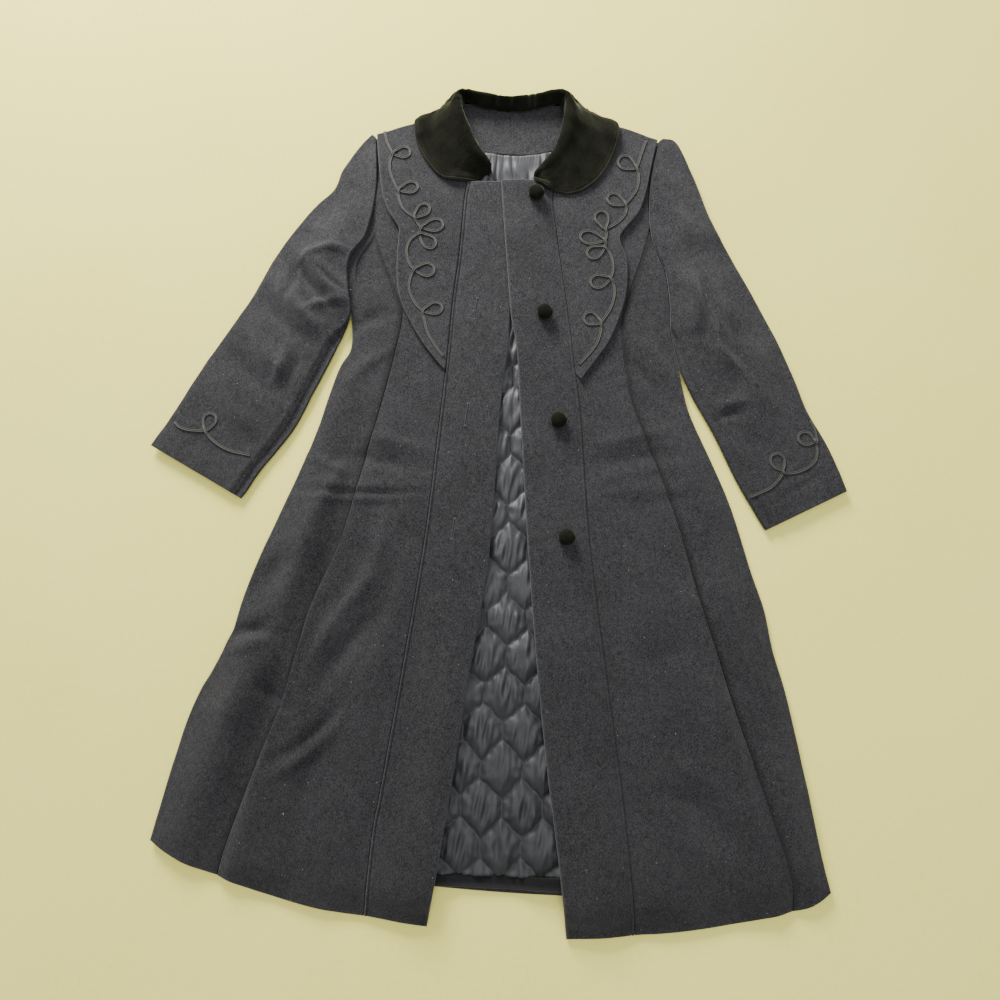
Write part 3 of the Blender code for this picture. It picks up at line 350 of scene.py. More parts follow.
def run_length(curve):
    """How long a polyline is."""
    return np.linalg.norm(np.diff(curve, axis=0), axis=1).sum()


def along(curve, fractions):
    """Points of a polyline at fractions of its length."""
    steps = np.linalg.norm(np.diff(curve, axis=0), axis=1)
    length = np.concatenate([[0.0], np.cumsum(steps)])
    wanted = np.array(fractions) * length[-1]
    return np.stack([np.interp(wanted, length, curve[:, k]) for k in range(curve.shape[1])], axis=1)


def seam(points, start=0.0, end=1.0, count=240, dx=0.0):
    """A stretch of a seam or edge, between two fractions of its length."""
    return along(smooth_curve(points), np.linspace(start, end, count)) + np.array((dx, 0.0))


def even(values, reach):
    """Values evened out over their neighbours, as many on either side as reach says."""
    width = 2 * reach + 1
    return np.convolve(np.pad(values, reach, mode="edge"), np.ones(width) / width, mode="valid")


def smooth_step(x, low, high):
    """Goes softly from 0 to 1 while x goes from low to high."""
    t = np.clip((x - low) / (high - low), 0, 1)
    return t * t * (3 - 2 * t)


def noise_of(x, y, wavelength, seed, waves=7):
    """Smooth unevenness between about -1 and 1: plane waves of several directions."""
    rng = np.random.default_rng(seed)
    total = np.zeros(np.shape(x))
    for _ in range(waves):
        angle, phase = rng.uniform(0, math.tau, 2)
        length = wavelength * rng.uniform(0.6, 1.7)
        total = total + np.sin(math.tau * (x * math.cos(angle) + y * math.sin(angle)) / length + phase)
    return total / math.sqrt(waves)


def crease_height(x, y, creases, depth=1.0):
    """What the ridges and troughs of a table add at places on the cloth."""
    total = np.zeros(np.shape(x))
    for crease in creases:
        start = np.array((crease["x0"], crease["y0"]), float)
        run = np.array((crease["x1"], crease["y1"]), float) - start
        length = np.linalg.norm(run)
        run /= length
        dx, dy = x - start[0], y - start[1]
        t = (dx * run[0] + dy * run[1]) / length
        aside = dx * run[1] - dy * run[0] - crease["bend"] * 4 * t * (1 - t)
        swell = np.sin(np.pi * np.clip(0.06 + 0.88 * t, 0, 1)) ** 1.2
        total = total + crease["height"] * swell * np.exp(-(aside / crease["width"]) ** 2)
    return depth * total


def tree_of(names):
    """The solids of these nodes in millimetres, ready to be looked down on."""
    points, faces = [], []
    for name in names:
        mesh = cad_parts[name].data
        start = len(points)
        points += [tuple(np.array(v.co) / MM + CENTRE) for v in mesh.vertices]
        faces += [tuple(start + k for k in face.vertices) for face in mesh.polygons]
    return BVHTree.FromPolygons(points, faces)


def height_at(tree, x, y):
    """How high the first surface lies that is met from above, or nan."""
    hit = tree.ray_cast(Vector((x, y, 300.0)), Vector((0, 0, -1)))[0]
    return hit.z if hit is not None else math.nan


class Layer:
    """How high the upper side of some solids lies over the floor, on a square grid, evened out."""
    STEP = 3.0
    MARGIN = 12.0

    def __init__(self, names, blur=6.0):
        boxes = np.array([[np.array(corner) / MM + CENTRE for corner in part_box(name)] for name in names])
        low, high = boxes[:, 0].min(axis=0) - self.MARGIN, boxes[:, 1].max(axis=0) + self.MARGIN
        self.x = np.arange(low[0], high[0] + self.STEP, self.STEP)
        self.y = np.arange(low[1], high[1] + self.STEP, self.STEP)
        tree = tree_of(names)
        z = np.array([[height_at(tree, x, y) for x in self.x] for y in self.y])
        self.z = self.blurred(self.filled(z), blur)

    def filled(self, z):
        """Places beside the cloth take the height of its nearest edge."""
        for _ in range(60):
            wide = np.pad(z, 1, constant_values=math.nan)
            near = np.stack([wide[:-2, 1:-1], wide[2:, 1:-1], wide[1:-1, :-2], wide[1:-1, 2:]])
            count = (~np.isnan(near)).sum(axis=0)
            mean = np.nansum(near, axis=0) / np.maximum(count, 1)
            z = np.where(np.isnan(z) & (count > 0), mean, z)
        return np.nan_to_num(z)

    def blurred(self, z, blur):
        """Heights evened out over a few times the blur."""
        reach = int(math.ceil(2.5 * blur / self.STEP))
        offsets = np.arange(-reach, reach + 1)
        weights = np.exp(-0.5 * (offsets * self.STEP / blur) ** 2)
        weights /= weights.sum()
        for axis in (0, 1):
            wide = np.pad(z, [(reach, reach) if k == axis else (0, 0) for k in (0, 1)], mode="edge")
            size = z.shape[axis]
            z = sum(w * np.take(wide, range(k, k + size), axis=axis) for k, w in enumerate(weights))
        return z

    def at(self, x, y):
        """Height at places between the grid's points."""
        u = np.clip((x - self.x[0]) / self.STEP, 0, len(self.x) - 1.001)
        v = np.clip((y - self.y[0]) / self.STEP, 0, len(self.y) - 1.001)
        i, j = v.astype(int), u.astype(int)
        fu, fv = u - j, v - i
        upper = self.z[i, j] * (1 - fu) + self.z[i, j + 1] * fu
        lower = self.z[i + 1, j] * (1 - fu) + self.z[i + 1, j + 1] * fu
        return upper * (1 - fv) + lower * fv


def lattice_faces(rows, columns, offset=0, flip=False):
    """Four-sided faces between a lattice's points, numbered from offset."""
    number = offset + np.arange(rows * columns).reshape(rows, columns)
    a, b = number[:-1, :-1], number[:-1, 1:]
    c, d = number[1:, 1:], number[1:, :-1]
    order = (a, b, c, d) if flip else (a, d, c, b)
    return np.stack(order, axis=-1).reshape(-1, 4).tolist()


def shell(top, bottom):
    """Points and faces of a closed shell between two lattices; rows run down, columns to the right."""
    rows, columns = top.shape[:2]
    count = rows * columns
    faces = lattice_faces(rows, columns) + lattice_faces(rows, columns, count, flip=True)
    number = np.arange(count).reshape(rows, columns)
    border = [*number[0], *number[1:, -1], *number[-1, -2::-1], *number[-2:0:-1, 0]]
    for a, b in zip(border, border[1:] + border[:1]):
        faces.append((int(a), int(b), int(count + b), int(count + a)))
    return np.vstack([top.reshape(-1, 3), bottom.reshape(-1, 3)]), faces


def make_piece(name, points, faces, finish, replaces, uv=None):
    """A smooth mesh in metres that rides with the coat and stands for its solids."""
    mesh = bpy.data.meshes.new(name)
    mesh.from_pydata(((np.asarray(points, float) - CENTRE) * MM).tolist(), [], faces)
    mesh.materials.append(finish)
    if uv is not None:
        layer = mesh.uv_layers.new(name="along")
        corners = np.zeros(len(mesh.loops), dtype=np.int32)
        mesh.loops.foreach_get("vertex_index", corners)
        layer.data.foreach_set("uv", np.asarray(uv, float)[corners].ravel())
    mesh.update()
    mesh.shade_smooth()
    piece = bpy.data.objects.new(name, mesh)
    bpy.context.scene.collection.objects.link(piece)
    if replaces:
        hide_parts(*replaces)
    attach(piece, "root")
    return piece


# Distances from a cut edge at which a panel has lines of points, for its rounding and its welt
CLOSE = np.array((0.0, 0.4, 0.9, 1.6, 2.3, 2.8, 3.3, 4.2, 5.6))


def stations(length, step):
    """Distances from one edge of a panel to the other, close together near both."""
    close = CLOSE * min(1.0, 0.42 * length / CLOSE[-1])
    inner = length - 2 * close[-1]
    count = max(1, round(inner / step))
    middle = close[-1] + inner * np.arange(1, count) / count
    return np.concatenate([close, middle, length - close[::-1]])


def panel_plan(first, second, step, crown=(0.0, 0.0)):
    """A panel's places between its two side edges, and each one's distance from its four edges."""
    rows = stations(0.5 * (run_length(first) + run_length(second)), step)
    length = rows[-1]
    a, b = along(first, rows / length), along(second, rows / length)
    width = np.linalg.norm(b - a, axis=1)
    columns = stations(max(np.median(width), 2.5 * CLOSE[-1]), step)
    inner = (columns - CLOSE[-1]) / (columns[-1] - 2 * CLOSE[-1])
    plan = np.zeros((len(rows), len(columns), 2))
    offsets = np.zeros(plan.shape[:2])
    for i, wide in enumerate(width):
        squeeze = min(1.0, 0.42 * wide / CLOSE[-1])
        close = CLOSE * squeeze
        offset = close[-1] + inner * (wide - 2 * close[-1])
        offset[:len(CLOSE)] = close
        offset[-len(CLOSE):] = wide - close[::-1]
        offsets[i] = offset
        plan[i] = a[i] + (b[i] - a[i]) * (offset / max(wide, 1e-6))[:, None]
    share = offsets / np.maximum(width, 1e-6)[:, None]
    bow = 4 * share * (1 - share)
    v = (rows / length)[:, None]
    plan[..., 1] += bow * (crown[0] * (1 - v) ** 6 - crown[1] * v ** 6)
    far = width[:, None] - offsets
    down = np.repeat(rows[:, None], plan.shape[1], axis=1)
    return plan, dict(first=offsets, second=far, start=down, end=length - down)


def rounding(distance, radius, depth):
    """How far a rounded edge pulls the surface in, at a distance from the edge."""
    t = np.clip(1 - distance / radius, 0, 1)
    return depth * (1 - np.sqrt(np.maximum(1 - t * t, 0)))


def lay_panel(name, first, second, layer, wall, step=3.6, seams=(), welt=None, crown=(0.0, 0.0),
              creases=(), own=(), lift=None, strip=None, shadow=1.0, uneven=0.35, finish="wool", slot="wool",
              floor=0.05):
    """One cut piece of cloth: a closed shell with rounded edges, on the heights of its layer.

    seams names the edges that are sewn to a neighbour; the others are free and fully rounded. own holds
    creases that raise this piece's upper side alone, lift adds to both sides, strip is a seam that lies
    inwards of an edge, and shadow widens the dark line at the seams.
    """
    plan, distance = panel_plan(first, second, step, crown)
    x, y = plan[..., 0], plan[..., 1]
    top = layer.at(x, y) + crease_height(x, y, creases, CREASE_DEPTH)
    top += uneven * noise_of(x, y, **SWELL) + RIPPLE_SHARE * uneven * noise_of(x, y, **RIPPLE)
    bottom = top - wall
    top += crease_height(x, y, own)
    if lift is not None:
        rise = lift(distance, y)
        top, bottom = top + rise, bottom + rise
    stitched = np.full(x.shape, OUT_OF_SIGHT)
    if strip:
        past = distance[strip["side"]] - strip["wide"](distance["start"])
        stitched, inner = np.abs(past), past < 0
        top -= strip["drop"] * np.where(inner, np.exp(-(stitched / 9.0) ** 2), 0.0)
        top += 0.8 * np.where(inner, 0.0, np.exp(-((stitched - 3.0) / 3.0) ** 2))
    for place, far in distance.items():
        if place in seams:
            top -= rounding(far, SEAM_ROUND, SEAM_DEPTH)
        else:
            half = 0.46 * wall
            top -= rounding(far, half, half)
            bottom += rounding(far, half, half)
    if welt:
        far = distance[welt]
        raised = smooth_step(far, 0.0, 0.9) * (1 - smooth_step(far, WELT - 0.6, WELT + 0.1))
        top += WELT_RISE * raised
        top -= WELT_STITCH * np.exp(-((far - WELT - 0.3) / 0.55) ** 2)
    bottom = np.maximum(bottom, floor)
    top = np.maximum(top, bottom + LEAST_WALL)
    points, faces = shell(np.dstack([plan, top]), np.dstack([plan, bottom]))
    sewn = [distance[place] * (shadow if place in ("first", "second") else 1.0) for place in seams]
    sewn = np.min(sewn + [stitched], axis=0)
    loose = np.min([distance[place] for place in distance if place not in seams], axis=0)
    uv = np.stack([sewn.ravel(), loose.ravel()], axis=1)
    return make_piece(name + "_cloth", points, faces, finish_of[finish], [name],
                      uv=np.vstack([uv, uv]))


class Wire:
    """A number on a shader's wire, which Python's operators work on."""

    def __init__(self, tree, socket):
        self.tree, self.socket = tree, socket

    def maths(self, operation, *values):
        return self.tree.add("ShaderNodeMath", dict(operation=operation), dict(enumerate(values)))

    def __add__(self, other): return self.maths("ADD", self, other)
    def __radd__(self, other): return self.maths("ADD", other, self)
    def __sub__(self, other): return self.maths("SUBTRACT", self, other)
    def __rsub__(self, other): return self.maths("SUBTRACT", other, self)
    def __mul__(self, other): return self.maths("MULTIPLY", self, other)
    def __rmul__(self, other): return self.maths("MULTIPLY", other, self)
    def above(self, limit): return self.maths("GREATER_THAN", self, limit)
    def sine(self): return self.maths("SINE", self)
    def size(self): return self.maths("ABSOLUTE", self)
    def beside(self, output): return Wire(self.tree, self.socket.node.outputs[output])


class Finish:
    """A procedural material, built up from one shader."""

    def __init__(self, name, **constants):
        self.material = bpy.data.materials.new(name)
        self.material.use_nodes = True
        self.nodes = self.material.node_tree.nodes
        self.links = self.material.node_tree.links
        self.shader = self.nodes["Principled BSDF"]
        for socket, value in constants.items():
            self.shader.inputs[socket.replace("_", " ")].default_value = value
        self.place = self.add("ShaderNodeTexCoord", output="Object")

    def add(self, kind, settings=None, inputs=None, output=0):
        """A node with its settings first and then its sockets; gives one of its outputs."""
        node = self.nodes.new(kind)
        for key, value in (settings or {}).items():
            if key == "stops":
                for element, (position, colour) in zip(node.color_ramp.elements, value):
                    element.position, element.color = position, (*colour, 1.0)
            else:
                setattr(node, key, value)
        for key, value in (inputs or {}).items():
            if isinstance(value, Wire):
                self.links.new(value.socket, node.inputs[key])
            else:
                node.inputs[key].default_value = value
        return Wire(self, node.outputs[output])

    def noise(self, scale, detail=2.0, roughness=0.5, stretch=None, turn=0.0):
        """Noise between 0 and 1, with scale in cycles a metre, stretched along one direction."""
        place = self.place
        if stretch:
            place = self.add("ShaderNodeMapping", {}, {"Vector": place, "Rotation": (0, 0, turn),
                                                       "Scale": stretch})
        return self.add("ShaderNodeTexNoise", {}, {"Vector": place, "Scale": scale, "Detail": detail,
                                                   "Roughness": roughness})

    def ramp(self, value, low, high, tones):
        """The first tone up to the value low, the second from the value high on."""
        return self.add("ShaderNodeValToRGB", dict(stops=zip((low, high), tones)), {"Fac": value})

    def mix(self, share, first, second):
        """The first colour where the share is 0, the second where it is 1."""
        colours = [colour if isinstance(colour, Wire) else rgba(colour) for colour in (first, second)]
        return self.add("ShaderNodeMix", dict(data_type="RGBA"), {0: share, 6: colours[0], 7: colours[1]},
                        output=2)

    def fade(self, value, near, far, first, last):
        """Goes evenly from first to last while the value goes from near to far."""
        return self.add("ShaderNodeMapRange", {}, {0: value, 1: near, 2: far, 3: first, 4: last})

    def laid(self):
        """The two numbers that the piece carries along its surface."""
        first = self.add("ShaderNodeSeparateXYZ", {}, {0: self.add("ShaderNodeUVMap", dict(uv_map="along"))})
        return first, first.beside(1)

    def shade_towards_hem(self, start, end, most):
        """A share of painted shade that grows towards the hem, to its most."""
        upward = self.add("ShaderNodeSeparateXYZ", {}, {0: self.place}, output=1)
        return self.fade(upward, end, start, most, 0.0)

    def spots(self, scale, size):
        """A mask of small spots, about scale of them a metre each way, and each one's own number."""
        near = self.add("ShaderNodeTexVoronoi", {}, {"Scale": scale, "Vector": self.place},
                        output="Distance")
        own = self.add("ShaderNodeSeparateColor", {}, {"Color": near.beside("Color")})
        return self.fade(near, size, 0.4 * size, 0.0, 1.0), own

    def set(self, socket, wire):
        self.links.new(wire.socket, self.shader.inputs[socket])

    def bump(self, height, strength, distance):
        self.set("Normal", self.add("ShaderNodeBump", {}, {"Height": height, "Strength": strength,
                                                           "Distance": distance}))


def rgba(colour):
    return (*colour, 1.0)


def wool_finish(name, tones, lint=1.0):
    """Brushed wool coating: a short matted nap, with painted shade down in the seams and towards the hem, a
    painted highlight along free edges, and stray pale fibres.
    """
    wool = Finish(name, Roughness=0.96, Sheen_Weight=0.22, Sheen_Roughness=0.55,
                  Sheen_Tint=rgba((0.62, 0.63, 0.65)), Specular_IOR_Level=0.10)
    patches = wool.noise(16.0, detail=3.0)
    matting = wool.noise(190.0, detail=3.0, roughness=0.65, stretch=(1.0, 0.7, 1.0), turn=0.35)
    fibres = wool.noise(900.0, detail=3.0, roughness=0.75, stretch=(1.0, 0.6, 1.0), turn=-0.5)
    cloth = wool.ramp(0.10 * patches + 0.17 * matting + 0.73 * fibres, 0.39, 0.61, tones)
    sewn, loose = wool.laid()
    # painted highlight along the free edges
    cloth = wool.mix(wool.fade(loose, 0.2, 2.6, 0.22, 0.0), cloth, WOOL_EDGE_HIGHLIGHT)
    # painted shade down in the seams, wider where the shadow argument widens it
    cloth = wool.mix(wool.fade(sewn, 0.1, 1.3, 0.6, 0.0), cloth, WOOL_SEAM_SHADE)
    # painted shade: the wool darker towards the hem
    cloth = wool.mix(wool.shade_towards_hem(0.35, -0.5, 0.30), cloth, BLACK)
    speck, speck_own = wool.spots(95.0, 0.055)
    fluff, fluff_own = wool.spots(24.0, 0.026)
    stray = lint * (0.5 * speck * speck_own.above(0.42) + 0.6 * fluff * fluff_own.above(0.62))
    wool.set("Base Color", wool.mix(stray, cloth, LINT))
    wool.bump(0.6 * matting + 0.5 * fibres, 0.7, 0.0014)
    return wool.material


def velvet_finish():
    """Cotton velvet: nearly black, its pile catching light at rims and where it is crushed."""
    velvet = Finish("velvet", Roughness=0.95, Sheen_Weight=0.30, Sheen_Roughness=0.35,
                    Sheen_Tint=rgba((0.55, 0.56, 0.42)), Specular_IOR_Level=0.03)
    brushed = velvet.noise(46.0, detail=4.0, roughness=0.65, stretch=(1.0, 0.6, 1.0), turn=0.5)
    pile = velvet.noise(1000.0, detail=2.0, roughness=0.7)
    edge, crushed = velvet.laid()
    tone = 0.5 * brushed + 0.5 * pile
    face = velvet.ramp(tone, 0.36, 0.66, VELVET_FACE)
    lit = velvet.ramp(tone, 0.34, 0.68, VELVET_LIT)
    # painted highlight on the rolled rims of the collar
    face = velvet.mix(velvet.fade(edge, 0.5, 6.5, 0.55, 0.0), face, lit)
    # painted highlight on the crushed pile
    face = velvet.mix(crushed * 0.8, face, lit)
    stitching = velvet.fade((edge - COLLAR_STITCHING).size(), 0.2, 0.8, 0.4, 0.0)
    velvet.set("Base Color", velvet.mix(stitching, face, VELVET_STITCHING))
    velvet.bump(pile + 0.5 * brushed, 0.5, 0.0006)
    return velvet.material


def satin_finish():
    """Polyester lining satin: slate, shining softly, with fine drawn wrinkles and zigzag quilting, painted
    shade along the quilting seams and towards the hem.
    """
    satin = Finish("satin", Roughness=0.42, Sheen_Weight=0.06, Sheen_Roughness=0.4,
                   Specular_IOR_Level=0.5)
    wrinkles = satin.noise(70.0, detail=3.0, roughness=0.55, stretch=(1.0, 0.4, 1.0), turn=0.12)
    weave = satin.noise(2600.0, detail=1.0)
    cloth = satin.ramp(0.6 * satin.noise(24.0, detail=2.0) + 0.4 * wrinkles, 0.30, 0.72, SATIN_TONES)
    far, run = satin.laid()
    # painted shade along the quilting seams
    cloth = satin.mix(satin.fade(far, 0.25, 1.3, 0.85, 0.0), cloth, SATIN_SEAM_SHADE)
    # painted shade: the satin darker towards the hem
    cloth = satin.mix(satin.shade_towards_hem(0.35, -0.35, 0.66), cloth, SATIN_HEM_SHADE)
    stitch = (run * 2.6).sine().above(0.1) * satin.fade(far, 0.7, 0.9, 0.35, 0.0)
    satin.set("Base Color", satin.mix(stitch, cloth, SATIN_STITCH))
    satin.set("Roughness", 0.46 + 0.16 * weave)
    satin.bump(wrinkles + 0.03 * weave, 0.5, 0.0024)
    return satin.material


def braid_finish():
    """Soutache: threads plaited in a herringbone over two cords, with painted shade along its sides and in
    the groove between the cords.
    """
    braid = Finish("braid", Roughness=0.62, Sheen_Weight=0.2, Sheen_Roughness=0.4)
    run, across = braid.laid()
    threads = (run * 5.2 + 3.4 * across.size()).sine() * 0.5 + 0.5
    fuzz = braid.noise(1400.0, detail=2.0)
    cord = braid.ramp(0.6 * threads + 0.4 * fuzz, 0.15, 0.85, BRAID_TONES)
    # painted shade along the braid's sides
    cord = braid.mix(braid.fade(across.size(), 0.55, 0.88, 0.0, 0.92), cord, BRAID_SIDE_SHADE)
    # painted shade in the groove between the two cords
    cord = braid.mix(braid.fade(across.size(), 0.0, 0.18, 0.7, 0.0), cord, BRAID_GROOVE_SHADE)
    braid.set("Base Color", cord)
    braid.bump(threads + 0.5 * fuzz, 0.5, 0.0004)
    return braid.material


def thread_finish():
    """Buttonhole twist, a little hairy."""
    thread = Finish("thread", Roughness=0.7, Sheen_Weight=0.15)
    fuzz = thread.noise(1800.0, detail=2.0)
    thread.set("Base Color", thread.ramp(fuzz, 0.3, 0.7, THREAD_TONES))
    thread.bump(fuzz, 0.5, 0.0003)
    return thread.material


def floor_finish():
    """A plain pale yellow ground, a little uneven."""
    ground = Finish("floor", Roughness=0.95)
    tone = 0.5 * ground.noise(5.0, detail=3.0) + 0.5 * ground.noise(160.0, detail=3.0)
    ground.set("Base Color", ground.ramp(tone, 0.3, 0.7, FLOOR_TONES))
    return ground.material


finish_of = {
    "wool": wool_finish("wool", WOOL_TONES),
    "wool_inside": wool_finish("wool_inside", WOOL_DARKER_TONES, lint=0.2),
    "velvet": velvet_finish(),
    "satin": satin_finish(),
    "braid": braid_finish(),
    "thread": thread_finish(),
}


def own_number(x, y):
    """A number between 0 and 1 for each cell of the quilting, worked out from its middle."""
    number = np.sin(x * 12.9898 + y * 78.233) * 43758.5453
    return number - np.floor(number)


def quilt(x, y):
    """Height of the quilting: long six-sided cells, each row half a cell along, drawn in at the seams.

    Gives each place's distance from the nearest seam, too, and how far along that seam it lies.
    """
    pitch = 2 * CELL_SIDE
    place_x, place_y = x, y
    x = x + 1.5 * noise_of(place_x, place_y, 58.0, 31) + 0.35 * noise_of(place_x, place_y, 9.0, 32)
    y = y + 1.8 * noise_of(place_x, place_y, 66.0, 33) + 0.35 * noise_of(place_x, place_y, 8.0, 34)
    best = np.full(x.shape, -1e3)
    cell_x, cell_y = np.zeros(x.shape), np.zeros(x.shape)
    first_row = np.floor((y - CELL_Y) / pitch)
    apex, run = 1.5 * CELL_SIDE, math.hypot(CELL_WIDTH / 2, CELL_SIDE)
    for row_shift in (-1, 0, 1, 2):
        row = first_row + row_shift
        centre_y = CELL_Y + row * pitch
        offset = np.where(np.mod(row, 2) == 1, CELL_WIDTH / 2, 0.0)
        centre_x = CELL_X + offset + CELL_WIDTH * np.round((x - CELL_X - offset) / CELL_WIDTH)
        dx, dy = np.abs(x - centre_x), np.abs(y - centre_y)
        slant = (CELL_WIDTH / 2 * (apex - dy) - CELL_SIDE * dx) / run
        inside = np.minimum(CELL_WIDTH / 2 - dx, slant)
        closer = inside > best
        best = np.where(closer, inside, best)
        cell_x, cell_y = np.where(closer, centre_x, cell_x), np.where(closer, centre_y, cell_y)
    own = own_number(cell_x, cell_y)
    lx, ly = x - cell_x, y - cell_y
    full = np.clip(best / QUILT_ROUND, 0, 1)
    puff = QUILT_PUFF * (0.82 + 0.36 * own) * np.sin(full * math.pi / 2) ** 0.6
    drawn = 0.5 + 0.5 * np.sin(np.arctan2(ly, lx) * 9 + 20 * own)
    drawn = -QUILT_DRAWN * drawn * np.exp(-best / 4.6) * (1 - np.exp(-best / 1.2))
    lean = (own - 0.5) * 1.1
    drape = np.sin((lx + lean * ly) / (3.4 + 1.6 * own) + 9 * own)
    drape = (1.15 * drape + 0.5 * np.sin((lx - lean * ly) / 2.3 + 17 * own)) * full ** 1.5
    tilt = QUILT_TILT * full * (ly / 24.0)
    rumple = 1.1 * noise_of(place_x, place_y * 0.6, 13.0, 35) * full
    height = puff + drawn + drape * QUILT_DRAPE + QUILT_RUMPLE * rumple - tilt
    run = np.where(np.abs(lx) > CELL_WIDTH / 2 - 3, ly, 0.87 * lx + 0.5 * ly)
    return height, best, run


def make_back():
    """The back of the coat and, in the lining's wedge, its turned-up hem."""
    right, left = seam(ARMHOLE_RIGHT + SIDE_RIGHT), seam(ARMHOLE_LEFT + SIDE_LEFT)
    right[:, 0] += 0.6 + BACK_INSET * smooth_step(-right[:, 1], -200, -130)
    left[:, 0] -= 0.6 + BACK_INSET * smooth_step(-left[:, 1], -150, -80)
    for edge in (right, left):
        edge[:, 1] -= BACK_INSET * smooth_step(edge[:, 1], 380, 420)
    layer = Layer(["back"], blur=4.0)
    back = lay_panel("back", right, left, layer, WOOL, step=8.0, crown=(30, 26), uneven=0.0)
    xs = np.linspace(-150, 170, 240)
    upper = np.stack([xs, -424.6 + 26 * (np.abs(xs) / 340) ** 2], axis=1)
    lower = np.stack([xs, -436.0 + np.interp(xs, [-150, 8, 170], [7, 0, 2])], axis=1)
    sides = [np.linspace(upper[k], lower[k], 60) for k in (0, -1)]
    hem = lay_panel("back_hem", *sides, Layer(["back_hem"]), 2.4, step=2.6, crown=(-26 * 0.22, 5),
                    uneven=0.3, finish="wool_inside", slot="wool_inside")
    return back, hem


def make_lining():
    """The quilted lining; its lines are close together only where it shows."""
    y = np.concatenate([[LINING_TOP, 280.0, 240.0, 200.0], np.arange(QUILT_END, LINING_HEM + 4.0, -1.7),
                        LINING_HEM + np.array((3.4, 2.4, 1.4, 0.6, 0.0))])
    box_low, box_high = [np.array(corner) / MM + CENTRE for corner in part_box("lining")]
    right, left = seam(BAND_EDGE_RIGHT), seam(BAND_EDGE_LEFT)
    open_right = np.interp(-y, -right[:, 1], right[:, 0]) - QUILT_MARGIN
    open_left = np.interp(-y, -left[:, 1], left[:, 0]) + QUILT_MARGIN
    t = np.clip((y - LINING_HEM) / (150.0 - LINING_HEM), 0, 1)
    low = (box_low[0] + 2) * (1 - t) - 130.0 * t
    high = (box_high[0] - 2) * (1 - t) + 150.0 * t
    share = np.linspace(0, 1, 106)
    x = open_right[:, None] + (open_left - open_right)[:, None] * share
    x = np.hstack([low[:, None], x, high[:, None]])
    plan = np.dstack([x, np.repeat(y[:, None], x.shape[1], axis=1)])
    for side in (0, -1):
        plan[:, side, 1] += LINING_TUCK * (1 - smooth_step(y, LINING_HEM, LINING_HEM + 60))
    px, py = plan[..., 0], plan[..., 1]
    base = WOOL + 0.3
    shown = (1 - smooth_step(py, QUILT_END - 22, QUILT_END)) * smooth_step(px - open_right[:, None], 4, 13)
    shown *= smooth_step(open_left[:, None] - px, 4, 13)
    puff, from_seam, run = quilt(px, py)
    top = base + QUILT_BASE + puff * shown + 2.6 * (1 - shown)
    hem = np.abs(py - LINING_HEM)
    top -= rounding(np.where(py < LINING_HEM + 5, hem, OUT_OF_SIGHT), HEM_ROUND, HEM_DEPTH)
    top[:, 0] = top[:, -1] = base + 1.2
    top = np.maximum(top, base + 0.3)
    bottom = np.full(top.shape, base)
    points, faces = shell(np.dstack([plan, top]), np.dstack([plan, bottom]))
    uv = np.stack([np.where(hem < 4.5, NO_SEAM[0], from_seam).ravel(), run.ravel()], axis=1)
    return make_piece("lining_quilted", points, faces, finish_of["satin"], ["lining"],
                      uv=np.vstack([uv, uv]))


def make_neck():
    """The wool facing inside the back neck and the satin gathered into it."""
    u = np.linspace(-1, 1, 240)
    upper = np.stack([6 + 72 * u, 453.5 + 6 * u ** 2], axis=1)
    lower = np.stack([8 + 52 * u, 394.0 + 8 * u ** 2], axis=1)
    sides = [np.linspace(upper[k], lower[k], 60) for k in (0, -1)]
    layer = Layer(["neck_facing"], blur=5.0)
    facing = lay_panel("neck_facing", *sides, layer, WOOL, step=3.0, crown=(4, 8), uneven=0.5)
    rows, columns = 46, 300
    v = np.linspace(0, 1, rows)[:, None]
    u = np.linspace(-1, 1, columns)[None, :]
    x = 8 + (52 + 6 * v) * u
    y = (394.6 + 8 * u ** 2) * (1 - v) + (LINING_TOP + 0.6) * v
    base = Layer(["back", "lining", "neck_facing"], blur=5.0)
    turn = math.tau * 4.5 * (u + 1) + 1.3 * np.sin(4 * u + 1) + 1.6 * noise_of(u, 0.5 * v, 0.9, 3)
    wave = np.abs(np.sin(turn / 2 + 0.5 * v * np.sin(7 * u))) ** 0.62
    wave *= 0.62 + 0.38 * noise_of(u, v, 0.35, 6)
    depth = np.interp(v, [0, 0.06, 0.3, 0.62, 1.0], [0.7, 1.7, 3.4, 2.8, 1.2])
    fine = 0.08 * np.sin(x * 1.7 + 4 * np.sin(y / 17)) * np.exp(-v * 7)
    seat = np.minimum(base.at(x, y), 7.6)
    top = seat + SATIN + wave * depth + fine + 0.5 * noise_of(x, y, 26.0, 8)
    top -= rounding(v * 82.0, 2.4, 1.6)
    bottom = top - SATIN
    points, faces = shell(np.dstack([x, y, top]), np.dstack([x, y, bottom]))
    gathers = make_piece("lining_gathers_cloth", points, faces, finish_of["satin"],
                         ["lining_gathers"], uv=[NO_SEAM] * len(points))
    return facing, gathers


